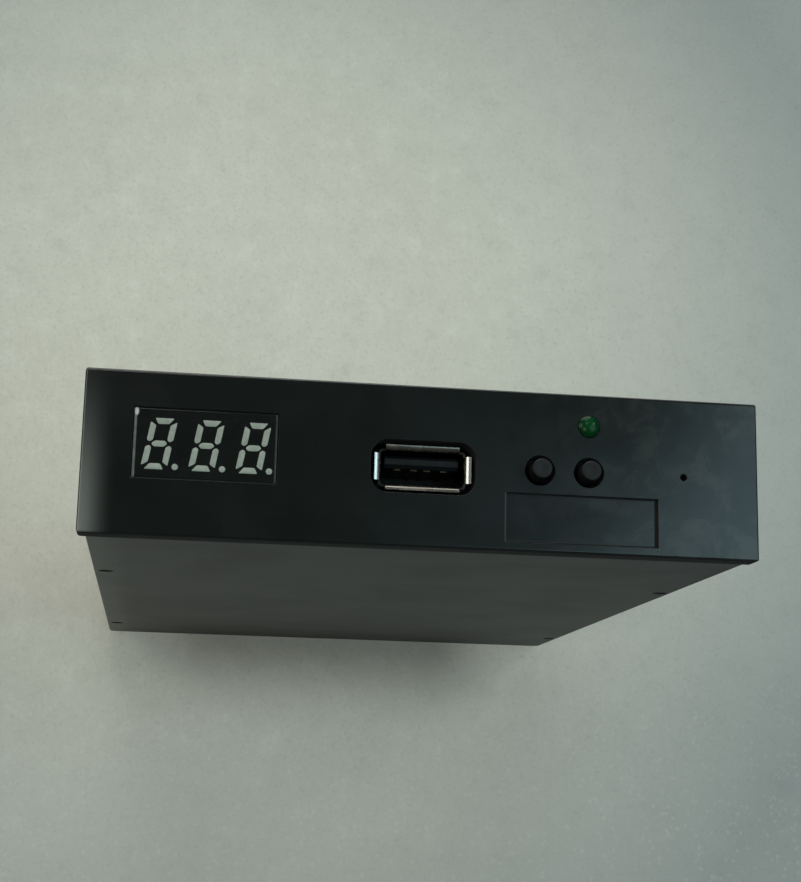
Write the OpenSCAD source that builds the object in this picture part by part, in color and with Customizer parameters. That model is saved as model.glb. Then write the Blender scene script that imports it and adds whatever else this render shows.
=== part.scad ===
// Floppy drive emulator for a drive bay one inch high: a plastic case whose front panel
// carries a three digit display, a USB socket, two push buttons and a lamp. The circuit board
// inside carries them, and the data, jumper and power headers that are reached from the rear.
// It lies flat as fitted: +X to the right seen from the front, the panel faces -Y, +Z is up.
// The origin lies on the base under the middle of the part. Sizes are in millimetres.

/* [Front panel] */
// Width of the front panel
panel_w = 101.6; // [100.8:0.1:106]
// Height of the front panel
panel_h = 24.4; // [24:0.1:28]
// Thickness of the front panel
panel_t = 3.5; // [3:0.1:4.5]
// Radius of the panel's corners seen from the front
panel_corner_r = 0.6; // [0.5:0.1:2]
// Radius along the panel's front edges
panel_edge_r = 0.4; // [0.2:0.05:0.5]
// Depth of the rim that plugs into the case
rim_d = 3; // [2:0.1:4]
// Thickness of that rim
rim_t = 1.5; // [1:0.1:1.6]
// Width of the snap tabs on the rim
tab_w = 6; // [4:0.5:8]
// Length of the snap tabs behind the rim
tab_l = 5; // [4:0.1:6]
// Height of the hook at the end of a snap tab
hook_h = 0.8; // [0.5:0.05:0.9]
// Distance of a snap tab's middle from the end of the rim
tab_inset = 13.5; // [11:0.5:16]
// Depth of the recess for a paper label
label_d = 0.7; // [0.3:0.1:1.2]
// Distance of the label recess from the panel's lower edge
label_margin = 1.35; // [0.8:0.05:1.6]
// Distance of the label recess from the panel's right edge
label_inset = 15.7; // [13:0.1:17]
// Distance between the label recess and the opening for the socket
label_gap = 4.6; // [3:0.1:7]
// Drop from the middle of the buttons to the top of the label recess
label_drop = 3.5; // [3.2:0.1:4.5]
// Diameter of the pinhole
pinhole_d = 1.1; // [0.8:0.1:1.6]
// Distance of the pinhole from the panel's right edge
pinhole_inset = 11.7; // [9.5:0.1:13]

/* [Case] */
// Length from the panel's face to the rear of the case
drive_l = 146; // [140:0.5:160]
// Step from the panel's side edge in to the side of the case
side_step = 1.15; // [0.6:0.05:1.3]
// Step from the panel's top edge down to the top of the case
top_step = 0.4; // [0.1:0.05:0.6]
// Thickness of the case's side and rear walls
wall = 2; // [1.6:0.1:2.6]
// Thickness of the case floor
floor_t = 2; // [1.6:0.1:2.4]
// Thickness of the cover's roof
roof_t = 2; // [1.8:0.1:2.4]
// Height of the joint between bottom case and cover
split_z = 16; // [15:0.25:17]
// Radius of the rear upright corners
rear_corner_r = 2; // [1:0.1:2.5]
// Radius along the lower edges of the bottom case and the upper edges of the cover
case_edge_r = 0.5; // [0.2:0.05:0.6]
// Depth and height of the groove between bottom case and cover
groove = 0.3; // [0.2:0.05:0.5]
// Height of the lip that lines the cover up in the bottom case
lip_h = 1.5; // [1:0.1:2]
// Thickness of that lip
lip_t = 0.9; // [0.7:0.05:1.2]
// Clearance between plastic pieces that plug together
fit_gap = 0.15; // [0.1:0.01:0.25]

/* [Mounting holes] */
// Diameter of the tapped mounting holes
mount_d = 2.5; // [2.2:0.1:2.8]
// Depth of the mounting holes
mount_depth = 5; // [4:0.1:6]
// Distance of the holes in the underside from the side of the case
mount_inset = 2.025; // [1.9:0.005:2.6]
// First pair of holes in the underside, from the panel's face
under_y = 41.3; // [38:0.1:45]
// Spacing of the two pairs in the underside
under_pitch = 85.7; // [80:0.1:88]
// First hole in each side, from the panel's face
side_y = 21; // [20:0.1:24]
// Spacing of the holes in each side
side_pitch = 90; // [80:0.1:94]
// Height of the side holes above the base
side_z = 5; // [4.5:0.1:6]
// Length of the block round each mounting hole
boss_l = 9; // [7:0.1:11]

/* [Board and screws] */
// Diameter of the posts under the board
standoff_d = 6; // [5:0.1:7]
// Thickness of the board
board_t = 1.6; // [1.2:0.1:1.8]
// Distance of the board screws from the board's side edges
screw_inset = 4; // [3.5:0.1:6]
// First pair of board screws, from the panel's face
screw_y = 30; // [27:0.5:34]
// Distance of the rear pair of board screws from the board's rear edge
screw_setback = 23; // [18:0.5:40]
// Shank diameter of the board screws
board_screw_d = 2.2; // [1.8:0.1:2.6]
// Head diameter of the board screws
board_head_d = 4.4; // [4:0.1:5]
// Head height of the board screws
board_head_h = 1.5; // [1.2:0.1:2]
// Diameter of the posts that take the cover screws
post_d = 6.4; // [6:0.1:7]
// Front pair of cover posts, from the panel's face
post_y = 16; // [15.5:0.5:18]
// Shank diameter of the cover screws
cover_screw_d = 2.4; // [2:0.1:2.8]
// Length of the cover screws under the head
cover_screw_l = 10; // [8:0.5:14]
// Head diameter of the cover screws
cover_head_d = 4.8; // [4.4:0.1:5]
// Head height of the cover screws
cover_head_h = 1.2; // [1:0.1:1.5]

/* [Display] */
// Width of the display block
display_w = 21; // [20.6:0.1:21.8]
// Height of the display block above the board
display_h = 10.4; // [10:0.1:11]
// Depth of the display block
display_d = 7; // [6.5:0.1:7.5]
// Distance of the display from the panel's left edge
display_inset = 7.35; // [7.2:0.05:8.5]
// Radius along the edges of the display's face
display_edge_r = 0.2; // [0.1:0.02:0.3]
// Setback of the display's face behind the panel's face
display_setback = 0.2; // [0:0.05:0.6]
// Height of a digit
digit_h = 7.65; // [7:0.05:8.3]
// Width of a digit across its upright bars
digit_w = 3.85; // [3.6:0.05:4.2]
// Spacing of the digits
digit_pitch = 6.84; // [6.7:0.02:7]
// Shift of the digits from the middle of the block, which leaves room for the points
digit_shift = 0.15; // [0:0.05:0.3]
// Drop of the digits below the middle of the block
digit_drop = 0.1; // [0:0.05:0.3]
// Lean of the digits in degrees
digit_lean = 10; // [4:0.5:11]
// Thickness of the digit bars
bar_t = 0.9; // [0.8:0.05:1.1]
// Gap between the digit bars
bar_gap = 0.2; // [0.12:0.02:0.26]
// Depth of the bars in the face
bar_d = 0.3; // [0.2:0.05:0.5]
// Diameter of the decimal points
point_d = 0.95; // [0.8:0.05:1.1]

/* [USB socket] */
// Shift of the socket from the middle of the panel, sideways
usb_x = -0.7; // [-2:0.1:2]
// Drop of the socket's middle below the middle of the panel, which sets the height of the board
usb_drop = 0.2; // [0:0.05:0.6]
// Height of the socket's middle above the board
usb_z = 3.55; // [3.4:0.05:3.8]
// Inner width of the shell
usb_w = 12.5; // [12.2:0.05:12.6]
// Inner height of the shell
usb_h = 5.12; // [5:0.02:5.3]
// Sheet thickness of the shell
sheet_t = 0.35; // [0.25:0.05:0.4]
// Inside radius of the flared lips above and below
flare_r = 0.5; // [0.4:0.02:0.7]
// Inside radius of the flared lips at the sides
side_flare_r = 0.7; // [0.5:0.02:0.75]
// Length of the shell behind the lips
usb_l = 13; // [12:0.1:14]
// Setback of the lips behind the panel's face
usb_setback = 0.8; // [0.3:0.1:1]
// Gap between the lips and the panel all round
usb_gap = 0.6; // [0.3:0.05:0.8]
// Corner radius of the panel's opening for the socket
usb_corner_r = 2.6; // [1.6:0.1:3]
// Thickness of the tongue
tongue_t = 1.84; // [1.7:0.02:1.9]
// Width of the tongue
tongue_w = 11.1; // [10.8:0.1:11.3]
// Setback of the tongue behind the lips
tongue_setback = 1.8; // [1.6:0.1:2.4]

/* [Buttons and lamp] */
// Distance of the right button's middle from the panel's right edge
button_inset = 26.4; // [24.5:0.05:27]
// Spacing of the two buttons
button_pitch = 7.5; // [7.1:0.05:7.8]
// Height of the buttons above the board
button_z = 3.9; // [3.8:0.05:4.2]
// Diameter of the button plungers
button_d = 3.05; // [2.8:0.05:3.2]
// Length of plunger that stands out of the panel
button_proud = 1.9; // [0.9:0.1:2.4]
// Diameter of the panel's button holes
button_hole_d = 4.65; // [4.2:0.05:4.8]
// Travel of the buttons
button_travel = 0.25; // [0.15:0.01:0.3]
// Width and height of the switch blocks
switch_w = 6; // [5.8:0.05:6.1]
// Depth of the switch blocks
switch_d = 3.5; // [3:0.1:4]
// Sheet thickness of the switch frames
frame_t = 0.4; // [0.3:0.05:0.45]
// Drop of the lamp's middle below the cover's roof
lamp_drop = 2.55; // [2.4:0.05:3]
// Diameter of the lamp
lamp_d = 3.3; // [2.8:0.05:3.5]
// Length of lamp that stands out of the panel
lamp_proud = 0.7; // [0.3:0.05:0.85]
// Clearance of the lamp in the panel
lamp_gap = 0.1; // [0.08:0.01:0.25]

/* [Rear headers] */
// Pitch of the header pins
pin_pitch = 2.54; // [2.5:0.02:2.6]
// Width of the square header pins
pin_w = 0.64; // [0.5:0.02:0.7]
// Length of pin behind a header
pin_l = 6; // [5:0.1:6.5]
// Setback of the pin tips from the rear face
pin_setback = 3.4; // [3:0.1:5]
// Columns of the data header
data_columns = 17; // [13:1:17]
// Columns of the jumper header
jumper_columns = 5; // [3:1:5]
// Pins of the power header
power_columns = 4; // [2:1:4]
// Room round the headers in the rear openings
bay_gap = 1.2; // [0.8:0.1:1.4]
// Extra room beside the data header for the ends of its plug
plug_gap = 1.5; // [1:0.1:1.6]
// Room between the outer headers and the cover posts
header_gap = 1.5; // [1.3:0.1:2]

/* [Hidden] */
$fn = 64;
// Length of a cut beyond the face that it opens
over = 1;
// Clearance between pieces that are soldered or set in place
seat_gap = 0.05;
// Clearance round a lead in its drilled hole
drill_gap = 0.1;
// Clearance round screw heads, and below screw tips
head_gap = 0.4;
tip_gap = 0.5;

// Case
case_w = panel_w - 2 * side_step;
case_h = panel_h - top_step;
inner_x = case_w / 2 - wall;
roof_z = case_h - roof_t;
front_reach = max(button_proud, lamp_proud);
face_y = front_reach - (drive_l + front_reach) / 2;
post_gap = 0.4;
post_r = post_d / 2;
post_x = inner_x - post_gap - post_r;
rear_post_y = drive_l - wall - post_gap - post_r;
// The cover screws sink a little below the roof, on seats with a floor of this thickness
screw_sink = 0.2;
seat_t = 2.2;
seat_z = case_h - cover_head_h - screw_sink;
post_top = seat_z - seat_t;
// Least wall round a mounting hole
mount_wall = 1.2;
under_x = case_w / 2 - mount_inset;

// Board, whose height follows from the socket's
usb_mid = panel_h / 2 - usb_drop;
board_top = usb_mid - usb_z;
board_z = board_top - board_t;
board_gap = 0.85;
board_x = post_x - post_r - board_gap;
board_lap = 0.4;
board_setback = 1.2;
board_front = panel_t + board_setback;
header_rear = drive_l - pin_setback - pin_l;
board_rear = header_rear + board_lap;
lead_l = 1;
lead_end = board_z - lead_l;
screw_x = board_x - screw_inset;
rear_screw_y = board_rear - screw_setback;

// Rim of the panel
rim_x = inner_x - fit_gap;
rim_bottom = floor_t + fit_gap;
rim_top = roof_z - fit_gap;
rim_end = panel_t + rim_d;
tab_x = rim_x - tab_inset;
tab_end = rim_end + tab_l;
hook_l = 1.5;

// Display
display_x = display_inset + (display_w - panel_w) / 2;
display_z = board_top + display_h / 2;
display_rear = display_setback + display_d;
window_gap = 0.1;
display_pin_w = 0.5;
display_columns = 6;
display_row = 3.81;
display_leg = 1.5;
bar_half = digit_w / 2;
bar_top = digit_h / 2;
flat_outer = bar_half - bar_gap - 0.35 * bar_t;
flat_inner = flat_outer - 0.7 * bar_t;
mid_half = bar_half - bar_gap - 0.6 * bar_t;
// Outlines of a digit's bars about its middle, before they lean
top_bar = [[-flat_outer, bar_top], [flat_outer, bar_top], [flat_inner, bar_top - bar_t],
  [-flat_inner, bar_top - bar_t]];
mid_bar = [[-mid_half, 0], [bar_t / 2 - mid_half, bar_t / 2], [mid_half - bar_t / 2, bar_t / 2],
  [mid_half, 0], [mid_half - bar_t / 2, -bar_t / 2], [bar_t / 2 - mid_half, -bar_t / 2]];
upright_bar = [[bar_half, 0.6 * bar_t], [bar_half - bar_t / 2, 0.25 * bar_t],
  [bar_half - bar_t, 0.6 * bar_t], [bar_half - bar_t, bar_top - bar_t - bar_gap],
  [bar_half, bar_top - 0.6 * bar_t]];

// Socket
flare = flare_r + sheet_t;
side_flare = side_flare_r + sheet_t;
shell_front = usb_setback + max(flare, side_flare);
shell_rear = shell_front + usb_l;
lip_x = usb_w / 2 + side_flare;
lip_z = usb_h / 2 + flare;
usb_leg_w = 1.8;
usb_leg_y = shell_rear - 5 * usb_l / 13;
tongue_front = usb_setback + tongue_setback;
tongue_lift = 0.2;
tongue_bottom = usb_mid + tongue_lift;
tongue_nose = 0.5;
insulator_l = 4;
foot_l = 1.5;
contact_w = 1;
contact_t = 0.2;
contact_gap = 2;
contact_pitch = 2.5;
contact_places = [-contact_gap / 2 - contact_pitch, -contact_gap / 2, contact_gap / 2,
  contact_gap / 2 + contact_pitch];
contact_leg_y = shell_rear + foot_l + contact_w;

// Buttons and their switches
button_x = panel_w / 2 - button_inset - button_pitch;
button_mid = board_top + button_z;
switch_gap = 0.8;
switch_front = panel_t + switch_gap;
block_front = switch_front + frame_t;
block_rear = block_front + switch_d;
plunger_gap = 0.4;
collar_d = button_d + 3 * plunger_gap;
collar_t = 0.8;
collar_front = block_front + drill_gap;
collar_rear = collar_front + collar_t;
dome_rise = 0.2;
dome_t = 0.12;
dome_front = collar_rear + button_travel + seat_gap;
dome_rear = dome_front + dome_t + dome_rise;
cup_d = collar_d + 2 * plunger_gap;
switch_lead_w = 0.5;
switch_lead_x = switch_w / 2 - 1.5 * switch_lead_w;
switch_lead_y = block_rear + 1.2 * switch_lead_w;
switch_lead_z = 1.2;
frame_leg_w = 0.9;
frame_leg_y = block_front + 2 * frame_leg_w;

// Lamp, straight above the right button
lamp_x = button_x + button_pitch;
lamp_mid = roof_z - lamp_drop;
flange_w = 0.4;
lamp_flange_d = lamp_d + 2 * flange_w;
lamp_flange_t = 1;
lamp_lead_x = 1.27;
lamp_lead_w = 0.5;
lamp_leg_gap = 3.2;
lamp_lead_y = block_rear + lamp_leg_gap;

// Label recess and pinhole
label_left = usb_x + lip_x + usb_gap + label_gap;
label_right = panel_w / 2 - label_inset;
label_top = button_mid - label_drop;
pinhole_x = panel_w / 2 - pinhole_inset;

// Rear headers: the outer two stand beside the cover posts, the data header midway between them
header_d = pin_pitch;
header_front = header_rear - header_d;
power_pitch = 2.5;
data_half = data_columns * pin_pitch / 2;
jumper_half = jumper_columns * pin_pitch / 2;
power_half = power_columns * power_pitch / 2;
header_x = post_x - post_r - header_gap;
jumper_x = jumper_half - header_x;
power_x = header_x - power_half;
data_x = jumper_half - power_half;
sill_drop = 0.8;
bay_bottom = board_top - sill_drop;
pin_tip = header_rear + pin_l;
power_h = 6.5;
power_z = 3.5;
power_d = 3.5;
shelf_t = 1.2;
key_w = 1;
key_h = 0.6;
cap_gap = 0.1;
cap_wall = 0.45;
cap_end = 0.8;
cap_start = header_rear + cap_gap;
cap_slot_l = pin_l + 3 * cap_gap;
cap_l = cap_slot_l + cap_end;
cap_w = pin_pitch - cap_gap;
cap_h = 2 * pin_pitch - cap_gap;
clip_t = 0.15;
clip_gap = 0.17;
clip_w = pin_w + 2 * clip_gap + 2 * clip_t;
slot_w = clip_w + 2 * seat_gap;
slot_h = cap_h - 2 * cap_wall;
clip_h = slot_h - 2 * seat_gap;

// Pieces on the board
chip_lift = 0.1;
controller_w = 7;
controller_h = 1.4;
controller_side = 12;
controller_pitch = 0.5;
controller_lead = [0.22, 0.12, 1, 0.6];
controller_y = (board_front + board_rear) / 2;
driver_w = 3.9;
driver_l = 9.9;
driver_h = 1.5;
driver_side = 8;
driver_pitch = 1.27;
driver_lead = [0.42, 0.2, 1.05, 0.7];
driver_shift = 5;
driver_setback = 21;
driver_x = display_x + driver_shift;
driver_y = board_front + driver_setback;
crystal_l = 11;
crystal_w = 4.6;
crystal_h = 3.5;
crystal_foot = 0.4;
crystal_gap = 6;
crystal_x = controller_w / 2 + crystal_gap + crystal_l / 2;
crystal_pad_l = 0.7;
crystal_pad_w = 0.8;
crystal_pad_h = 0.2;
regulator_l = 6.5;
regulator_w = 3.5;
regulator_h = 1.6;
regulator_pitch = 2.3;
regulator_lead = [0.7, 0.25, 1.7, 0.6];
regulator_tab = [3, 0.25, 1.7, 0.6];
regulator_setback = 30;
regulator_x = power_x - 1.5 * regulator_l;
regulator_y = board_rear - regulator_setback;
can_d = 6.3;
can_h = 7.2;
can_groove = 0.25;
can_edge = 0.4;
can_base_h = 0.9;
can_base_w = can_d + can_edge;
can_notch = 1.6;
can_setback = 42;
can_x = power_x - can_d / 2;
can_y = board_rear - can_setback;
chip_l = 2;
chip_w = 1.25;
resistor_h = 0.55;
ceramic_h = 0.9;
rank_pitch = 4;
rank_gap = 8;
resistor_x = -controller_w / 2 - rank_gap - rank_pitch;
ceramic_y = controller_y + controller_w / 2 + rank_gap + rank_pitch / 2;

// Shared shapes

// Moves a piece drawn from the middle of the panel's lower edge into the part's own frame
module placed() {
  translate([0, face_y, 0]) children();
}

// A box from one corner to the other
module box(low, high) {
  translate(low) cube(high - low);
}

// A round bar along Y between two depths
module bar_y(x, z, d, y0, y1) {
  translate([x, y0, z]) rotate([-90, 0, 0]) cylinder(d = d, h = y1 - y0);
}

// A round bar along Z between two heights
module bar_z(x, y, d, z0, z1) {
  translate([x, y, z0]) cylinder(d = d, h = z1 - z0);
}

// A rectangle about the origin with round corners
module round_rect(w, h, r) {
  square([w - 2 * r, h], center = true);
  square([w, h - 2 * r], center = true);
  for (sx = [-1, 1], sy = [-1, 1]) translate([sx * (w / 2 - r), sy * (h / 2 - r)]) circle(r = r);
}

// A rectangle whose two corners on the side of the lower y are round
module round_front(w, t, r) {
  translate([-w / 2, r]) square([w, t - r]);
  translate([r - w / 2, 0]) square([w - 2 * r, t]);
  for (s = [-1, 1]) translate([s * (w / 2 - r), r]) circle(r = r);
}

// A flat drawn as seen from the front, from depth y0 to y1
module front_slab(y0, y1) {
  translate([0, y1, 0]) rotate([90, 0, 0]) linear_extrude(y1 - y0) children();
}

// A wire that leaves a piece along Y and turns down through the board
module bent_wire(x, z, w, y_from, y_leg) {
  y0 = min(y_from, y_leg - w / 2);
  y1 = max(y_from, y_leg + w / 2);
  box([x - w / 2, y0, z - w / 2], [x + w / 2, y1, z + w / 2]);
  box([x - w / 2, y_leg - w / 2, lead_end], [x + w / 2, y_leg + w / 2, z]);
}

// The drilled hole that takes a square lead of width w
module lead_hole(x, y, w) {
  bar_z(x, y, w * sqrt(2) + 2 * drill_gap, board_z - over, board_top + over);
}

// A pan head screw with a cross recess, pointing down from the seat under its head
module pan_screw(d, l, head_d, head_h) {
  slot_w = head_d / 7;
  slot_l = head_d * 0.6;
  difference() {
    union() {
      translate([0, 0, -l]) cylinder(d = d, h = l);
      cylinder(d = head_d, h = head_h);
    }
    for (a = [0, 90]) rotate([0, 0, a]) translate([-slot_l / 2, -slot_w / 2, head_h * 0.4])
      cube([slot_l, slot_w, head_h]);
  }
}

// Outline of the case seen from above, drawn in by a margin
module case_plan(margin, front) {
  r = max(rear_corner_r - margin, 0.3);
  half = case_w / 2 - margin;
  rear = drive_l - margin;
  translate([-half, front]) square([2 * half, rear - r - front]);
  translate([r - half, front]) square([2 * half - 2 * r, rear - front]);
  for (s = [-1, 1]) translate([s * (half - r), rear - r]) circle(r = r);
}

// The outside of the case up to a height, with a radius along the edges of its lowest side
module case_block(h) {
  intersection() {
    linear_extrude(h) case_plan(0, panel_t);
    translate([0, drive_l, 0]) rotate([90, 0, 0]) linear_extrude(drive_l) round_front(case_w, h, case_edge_r);
    translate([case_w / 2, 0, 0]) rotate([90, 0, -90]) linear_extrude(case_w)
      translate([-drive_l, 0]) round_front(2 * drive_l, h, case_edge_r);
  }
}

// Places of the pieces that repeat
module at_posts() {
  for (s = [-1, 1], y = [post_y, rear_post_y]) translate([s * post_x, y, 0]) children();
}

module at_board_screws() {
  for (s = [-1, 1], y = [screw_y, rear_screw_y]) translate([s * screw_x, y, 0]) children();
}

// Sideways place of one column of a row of pins
function column_x(mid, columns, pitch, i) = mid + (i - (columns - 1) / 2) * pitch;

// Depth of the legs of one row of header pins: the upper row is bent further in
function leg_y(row) = header_front - (row + 0.5) * pin_pitch;

// Height of one row of header pins
function row_z(row) = board_top + (row + 0.5) * pin_pitch;

// Front panel

// The display's window, the openings that pieces stand in, the pinhole and the label recess
module panel_openings() {
  box([display_x - display_w / 2 - window_gap, -over, board_top - window_gap],
    [display_x + display_w / 2 + window_gap, panel_t + over, board_top + display_h + window_gap]);
  translate([usb_x, 0, usb_mid]) front_slab(-over, panel_t + over)
    round_rect(2 * (lip_x + usb_gap), 2 * (lip_z + usb_gap), usb_corner_r);
  for (i = [0, 1]) bar_y(button_x + i * button_pitch, button_mid, button_hole_d, -over, panel_t + over);
  bar_y(lamp_x, lamp_mid, lamp_d + 2 * lamp_gap, -over, panel_t + over);
  bar_y(pinhole_x, button_mid, pinhole_d, -over, panel_t + over);
  box([label_left, -over, label_margin], [label_right, label_d, label_top]);
}

module panel_plate() {
  intersection() {
    translate([0, 0, panel_h / 2]) front_slab(0, panel_t) round_rect(panel_w, panel_h, panel_corner_r);
    linear_extrude(panel_h) round_front(panel_w, panel_t, panel_edge_r);
    translate([-panel_w / 2, 0, panel_h / 2]) rotate([0, 90, 0]) linear_extrude(panel_w)
      round_front(panel_h, panel_t, panel_edge_r);
  }
}

// The rim and its snap tabs, with a notch that clears the lamp's flange
module panel_rim() {
  notch = lamp_flange_d / 2 + 2 * fit_gap;
  difference() {
    box([-rim_x, panel_t, rim_bottom], [rim_x, rim_end, rim_top]);
    box([rim_t - rim_x, panel_t - over, rim_bottom + rim_t],
      [rim_x - rim_t, rim_end + over, rim_top - rim_t]);
    box([lamp_x - notch, panel_t - over, lamp_mid], [lamp_x + notch, rim_end + over, rim_top + over]);
  }
  for (s = [-1, 1]) translate([s * tab_x - tab_w / 2, 0, 0]) {
    box([0, panel_t, rim_top - rim_t], [tab_w, tab_end, rim_top]);
    box([0, tab_end - hook_l, rim_top], [tab_w, tab_end, rim_top + hook_h]);
    box([0, panel_t, rim_bottom], [tab_w, tab_end, rim_bottom + rim_t]);
    box([0, tab_end - hook_l, rim_bottom - hook_h], [tab_w, tab_end, rim_bottom]);
  }
}

module front_panel() color([0.1, 0.11, 0.11]) placed() {
  difference() {
    panel_plate();
    panel_openings();
  }
  panel_rim();
}

// Pockets in floor and roof that the snap hooks drop into
module hook_pockets(z0, z1) {
  for (s = [-1, 1]) translate([s * tab_x, 0, 0])
    box([-tab_w / 2 - fit_gap, tab_end - hook_l - fit_gap, z0],
      [tab_w / 2 + fit_gap, tab_end + fit_gap, z1]);
}

// Case

// The three openings in the rear wall, open upwards to the cover
module rear_bays() {
  bays = [[data_x, data_half + plug_gap], [jumper_x, jumper_half], [power_x, power_half]];
  for (bay = bays) translate([bay[0], drive_l, 0])
    box([-bay[1] - bay_gap, -wall - over, bay_bottom], [bay[1] + bay_gap, over, split_z + over]);
}

// Blocks along the side walls that the mounting holes are tapped into
module mount_blocks() {
  inner = min(under_x - mount_d / 2, case_w / 2 - mount_depth) - mount_wall;
  for (s = [0, 1]) mirror([s, 0, 0]) {
    for (y = [under_y, under_y + under_pitch])
      box([inner, y - boss_l / 2, 0], [inner_x + over, y + boss_l / 2, mount_depth + mount_wall]);
    for (y = [side_y, side_y + side_pitch])
      box([inner, y - boss_l / 2, 0], [inner_x + over, y + boss_l / 2, side_z + mount_d / 2 + mount_wall]);
  }
}

module mount_holes() {
  for (s = [0, 1]) mirror([s, 0, 0]) {
    for (y = [under_y, under_y + under_pitch]) bar_z(under_x, y, mount_d, -over, mount_depth);
    for (y = [side_y, side_y + side_pitch]) translate([case_w / 2 - mount_depth, y, side_z])
      rotate([0, 90, 0]) cylinder(d = mount_d, h = mount_depth + over);
  }
}

module bottom_case() color([0.24, 0.25, 0.22]) placed() {
  difference() {
    union() {
      difference() {
        case_block(split_z);
        translate([0, 0, floor_t]) linear_extrude(split_z) case_plan(wall, panel_t - over);
      }
      mount_blocks();
      at_posts() cylinder(d = post_d, h = post_top);
      at_board_screws() cylinder(d = standoff_d, h = board_z);
    }
    mount_holes();
    rear_bays();
    hook_pockets(floor_t - hook_h, floor_t + over);
    at_posts() bar_z(0, 0, cover_screw_d + 2 * seat_gap, seat_z - cover_screw_l - tip_gap, post_top + over);
    at_board_screws() bar_z(0, 0, board_screw_d + 2 * seat_gap, floor_t, board_z + over);
  }
}

// Lip along both sides between the posts, which stands inside the walls of the bottom case
module cover_lip() {
  front = post_y + post_d;
  rear = rear_post_y - post_d;
  outer = inner_x - fit_gap;
  for (s = [0, 1]) mirror([s, 0, 0]) {
    box([outer - lip_t, front, split_z - lip_h], [outer, rear, split_z + lip_t]);
    box([outer - lip_t, front, split_z], [inner_x + over, rear, split_z + lip_t]);
  }
}

// The groove along the cover's lower edge
module cover_groove() {
  translate([0, 0, split_z - over]) linear_extrude(over + groove) difference() {
    case_plan(-over, panel_t - over);
    case_plan(groove, panel_t - 2 * over);
  }
}

module top_cover() color([0.2, 0.21, 0.2]) placed() {
  difference() {
    union() {
      difference() {
        translate([0, 0, case_h]) mirror([0, 0, 1]) case_block(case_h - split_z);
        translate([0, 0, split_z - over]) linear_extrude(roof_z - split_z + over)
          case_plan(wall, panel_t - over);
      }
      cover_lip();
      at_posts() bar_z(0, 0, post_d, post_top, roof_z + roof_t / 2);
    }
    at_posts() bar_z(0, 0, cover_screw_d + 2 * drill_gap, post_top - over, case_h);
    at_posts() bar_z(0, 0, cover_head_d + 2 * head_gap, seat_z, case_h + over);
    hook_pockets(roof_z - over, roof_z + hook_h);
    cover_groove();
  }
}

module cover_screws() color([0.35, 0.35, 0.36]) placed() at_posts() translate([0, 0, seat_z])
  pan_screw(cover_screw_d, cover_screw_l, cover_head_d, cover_head_h);

// Board

module header_holes(mid, columns, pitch, rows) {
  for (i = [0:columns - 1], row = [0:rows - 1])
    lead_hole(column_x(mid, columns, pitch, i), leg_y(row), pin_w);
}

module main_board() color([0.1, 0.3, 0.16]) placed() {
  difference() {
    box([-board_x, board_front, board_z], [board_x, board_rear, board_top]);
    at_board_screws() bar_z(0, 0, board_screw_d + 2 * head_gap, board_z - over, board_top + over);
    header_holes(data_x, data_columns, pin_pitch, 2);
    header_holes(jumper_x, jumper_columns, pin_pitch, 2);
    header_holes(power_x, power_columns, power_pitch, 1);
    for (i = [0:display_columns - 1], row = [0, 1])
      lead_hole(column_x(display_x, display_columns, pin_pitch, i), display_leg_y(row), display_pin_w);
    for (s = [-1, 1]) lead_hole(lamp_x + s * lamp_lead_x, lamp_lead_y, lamp_lead_w);
    for (place = contact_places) lead_hole(usb_x + place, contact_leg_y, contact_w);
    for (s = [-1, 1]) lead_hole(usb_x + s * (usb_w + sheet_t) / 2, usb_leg_y, usb_leg_w);
    for (i = [0, 1], s = [-1, 1]) {
      lead_hole(button_x + i * button_pitch + s * switch_lead_x, switch_lead_y, switch_lead_w);
      lead_hole(button_x + i * button_pitch + s * (switch_w + frame_t) / 2, frame_leg_y, frame_leg_w);
    }
  }
}

module board_screws() color([0.7, 0.7, 0.72]) placed() at_board_screws() translate([0, 0, board_top])
  pan_screw(board_screw_d, board_top - floor_t - tip_gap, board_head_d, board_head_h);

// Display

// Leans a point of a digit over
function lean(p) = [p[0] + p[1] * tan(digit_lean), p[1]];

// Turns an outline over, sideways and upside down
function flipped(points, sx, sz) = [for (p = points) [sx * p[0], sz * p[1]]];

// One digit with its decimal point, seen from the front
module digit_outline() {
  outlines = concat([top_bar, flipped(top_bar, 1, -1), mid_bar],
    [for (sx = [-1, 1], sz = [-1, 1]) flipped(upright_bar, sx, sz)]);
  for (outline = outlines) polygon([for (p = outline) lean(p)]);
  translate([bar_half + point_d / 2, (point_d - digit_h) / 2]) circle(d = point_d);
}

module display_digits(y0, y1) {
  for (i = [-1, 0, 1])
    translate([display_x + digit_shift + i * digit_pitch, 0, display_z - digit_drop])
      front_slab(y0, y1) digit_outline();
}

// Block of the display, with a radius along the edges of its face
module display_body() {
  translate([display_x, display_setback, board_top]) intersection() {
    linear_extrude(display_h) round_front(display_w, display_d, display_edge_r);
    translate([-display_w / 2, 0, display_h / 2]) rotate([0, 90, 0]) linear_extrude(display_w)
      round_front(display_h, display_d, display_edge_r);
  }
}

module display_block() color([0.12, 0.12, 0.12]) placed() {
  difference() {
    display_body();
    display_digits(display_setback - over, display_setback + bar_d);
  }
}

module display_bars() color([0.6, 0.64, 0.6]) placed()
  display_digits(display_setback, display_setback + bar_d);

// Depth of the legs of a row of display pins: the upper row is bent further out
function display_leg_y(row) = display_rear + display_leg + row * pin_pitch;

module display_pins() color([0.75, 0.75, 0.75]) placed() {
  for (i = [0:display_columns - 1], row = [0, 1])
    bent_wire(column_x(display_x, display_columns, pin_pitch, i), display_z + (2 * row - 1) * display_row,
      display_pin_w, display_rear, display_leg_y(row));
}

// USB socket

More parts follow.
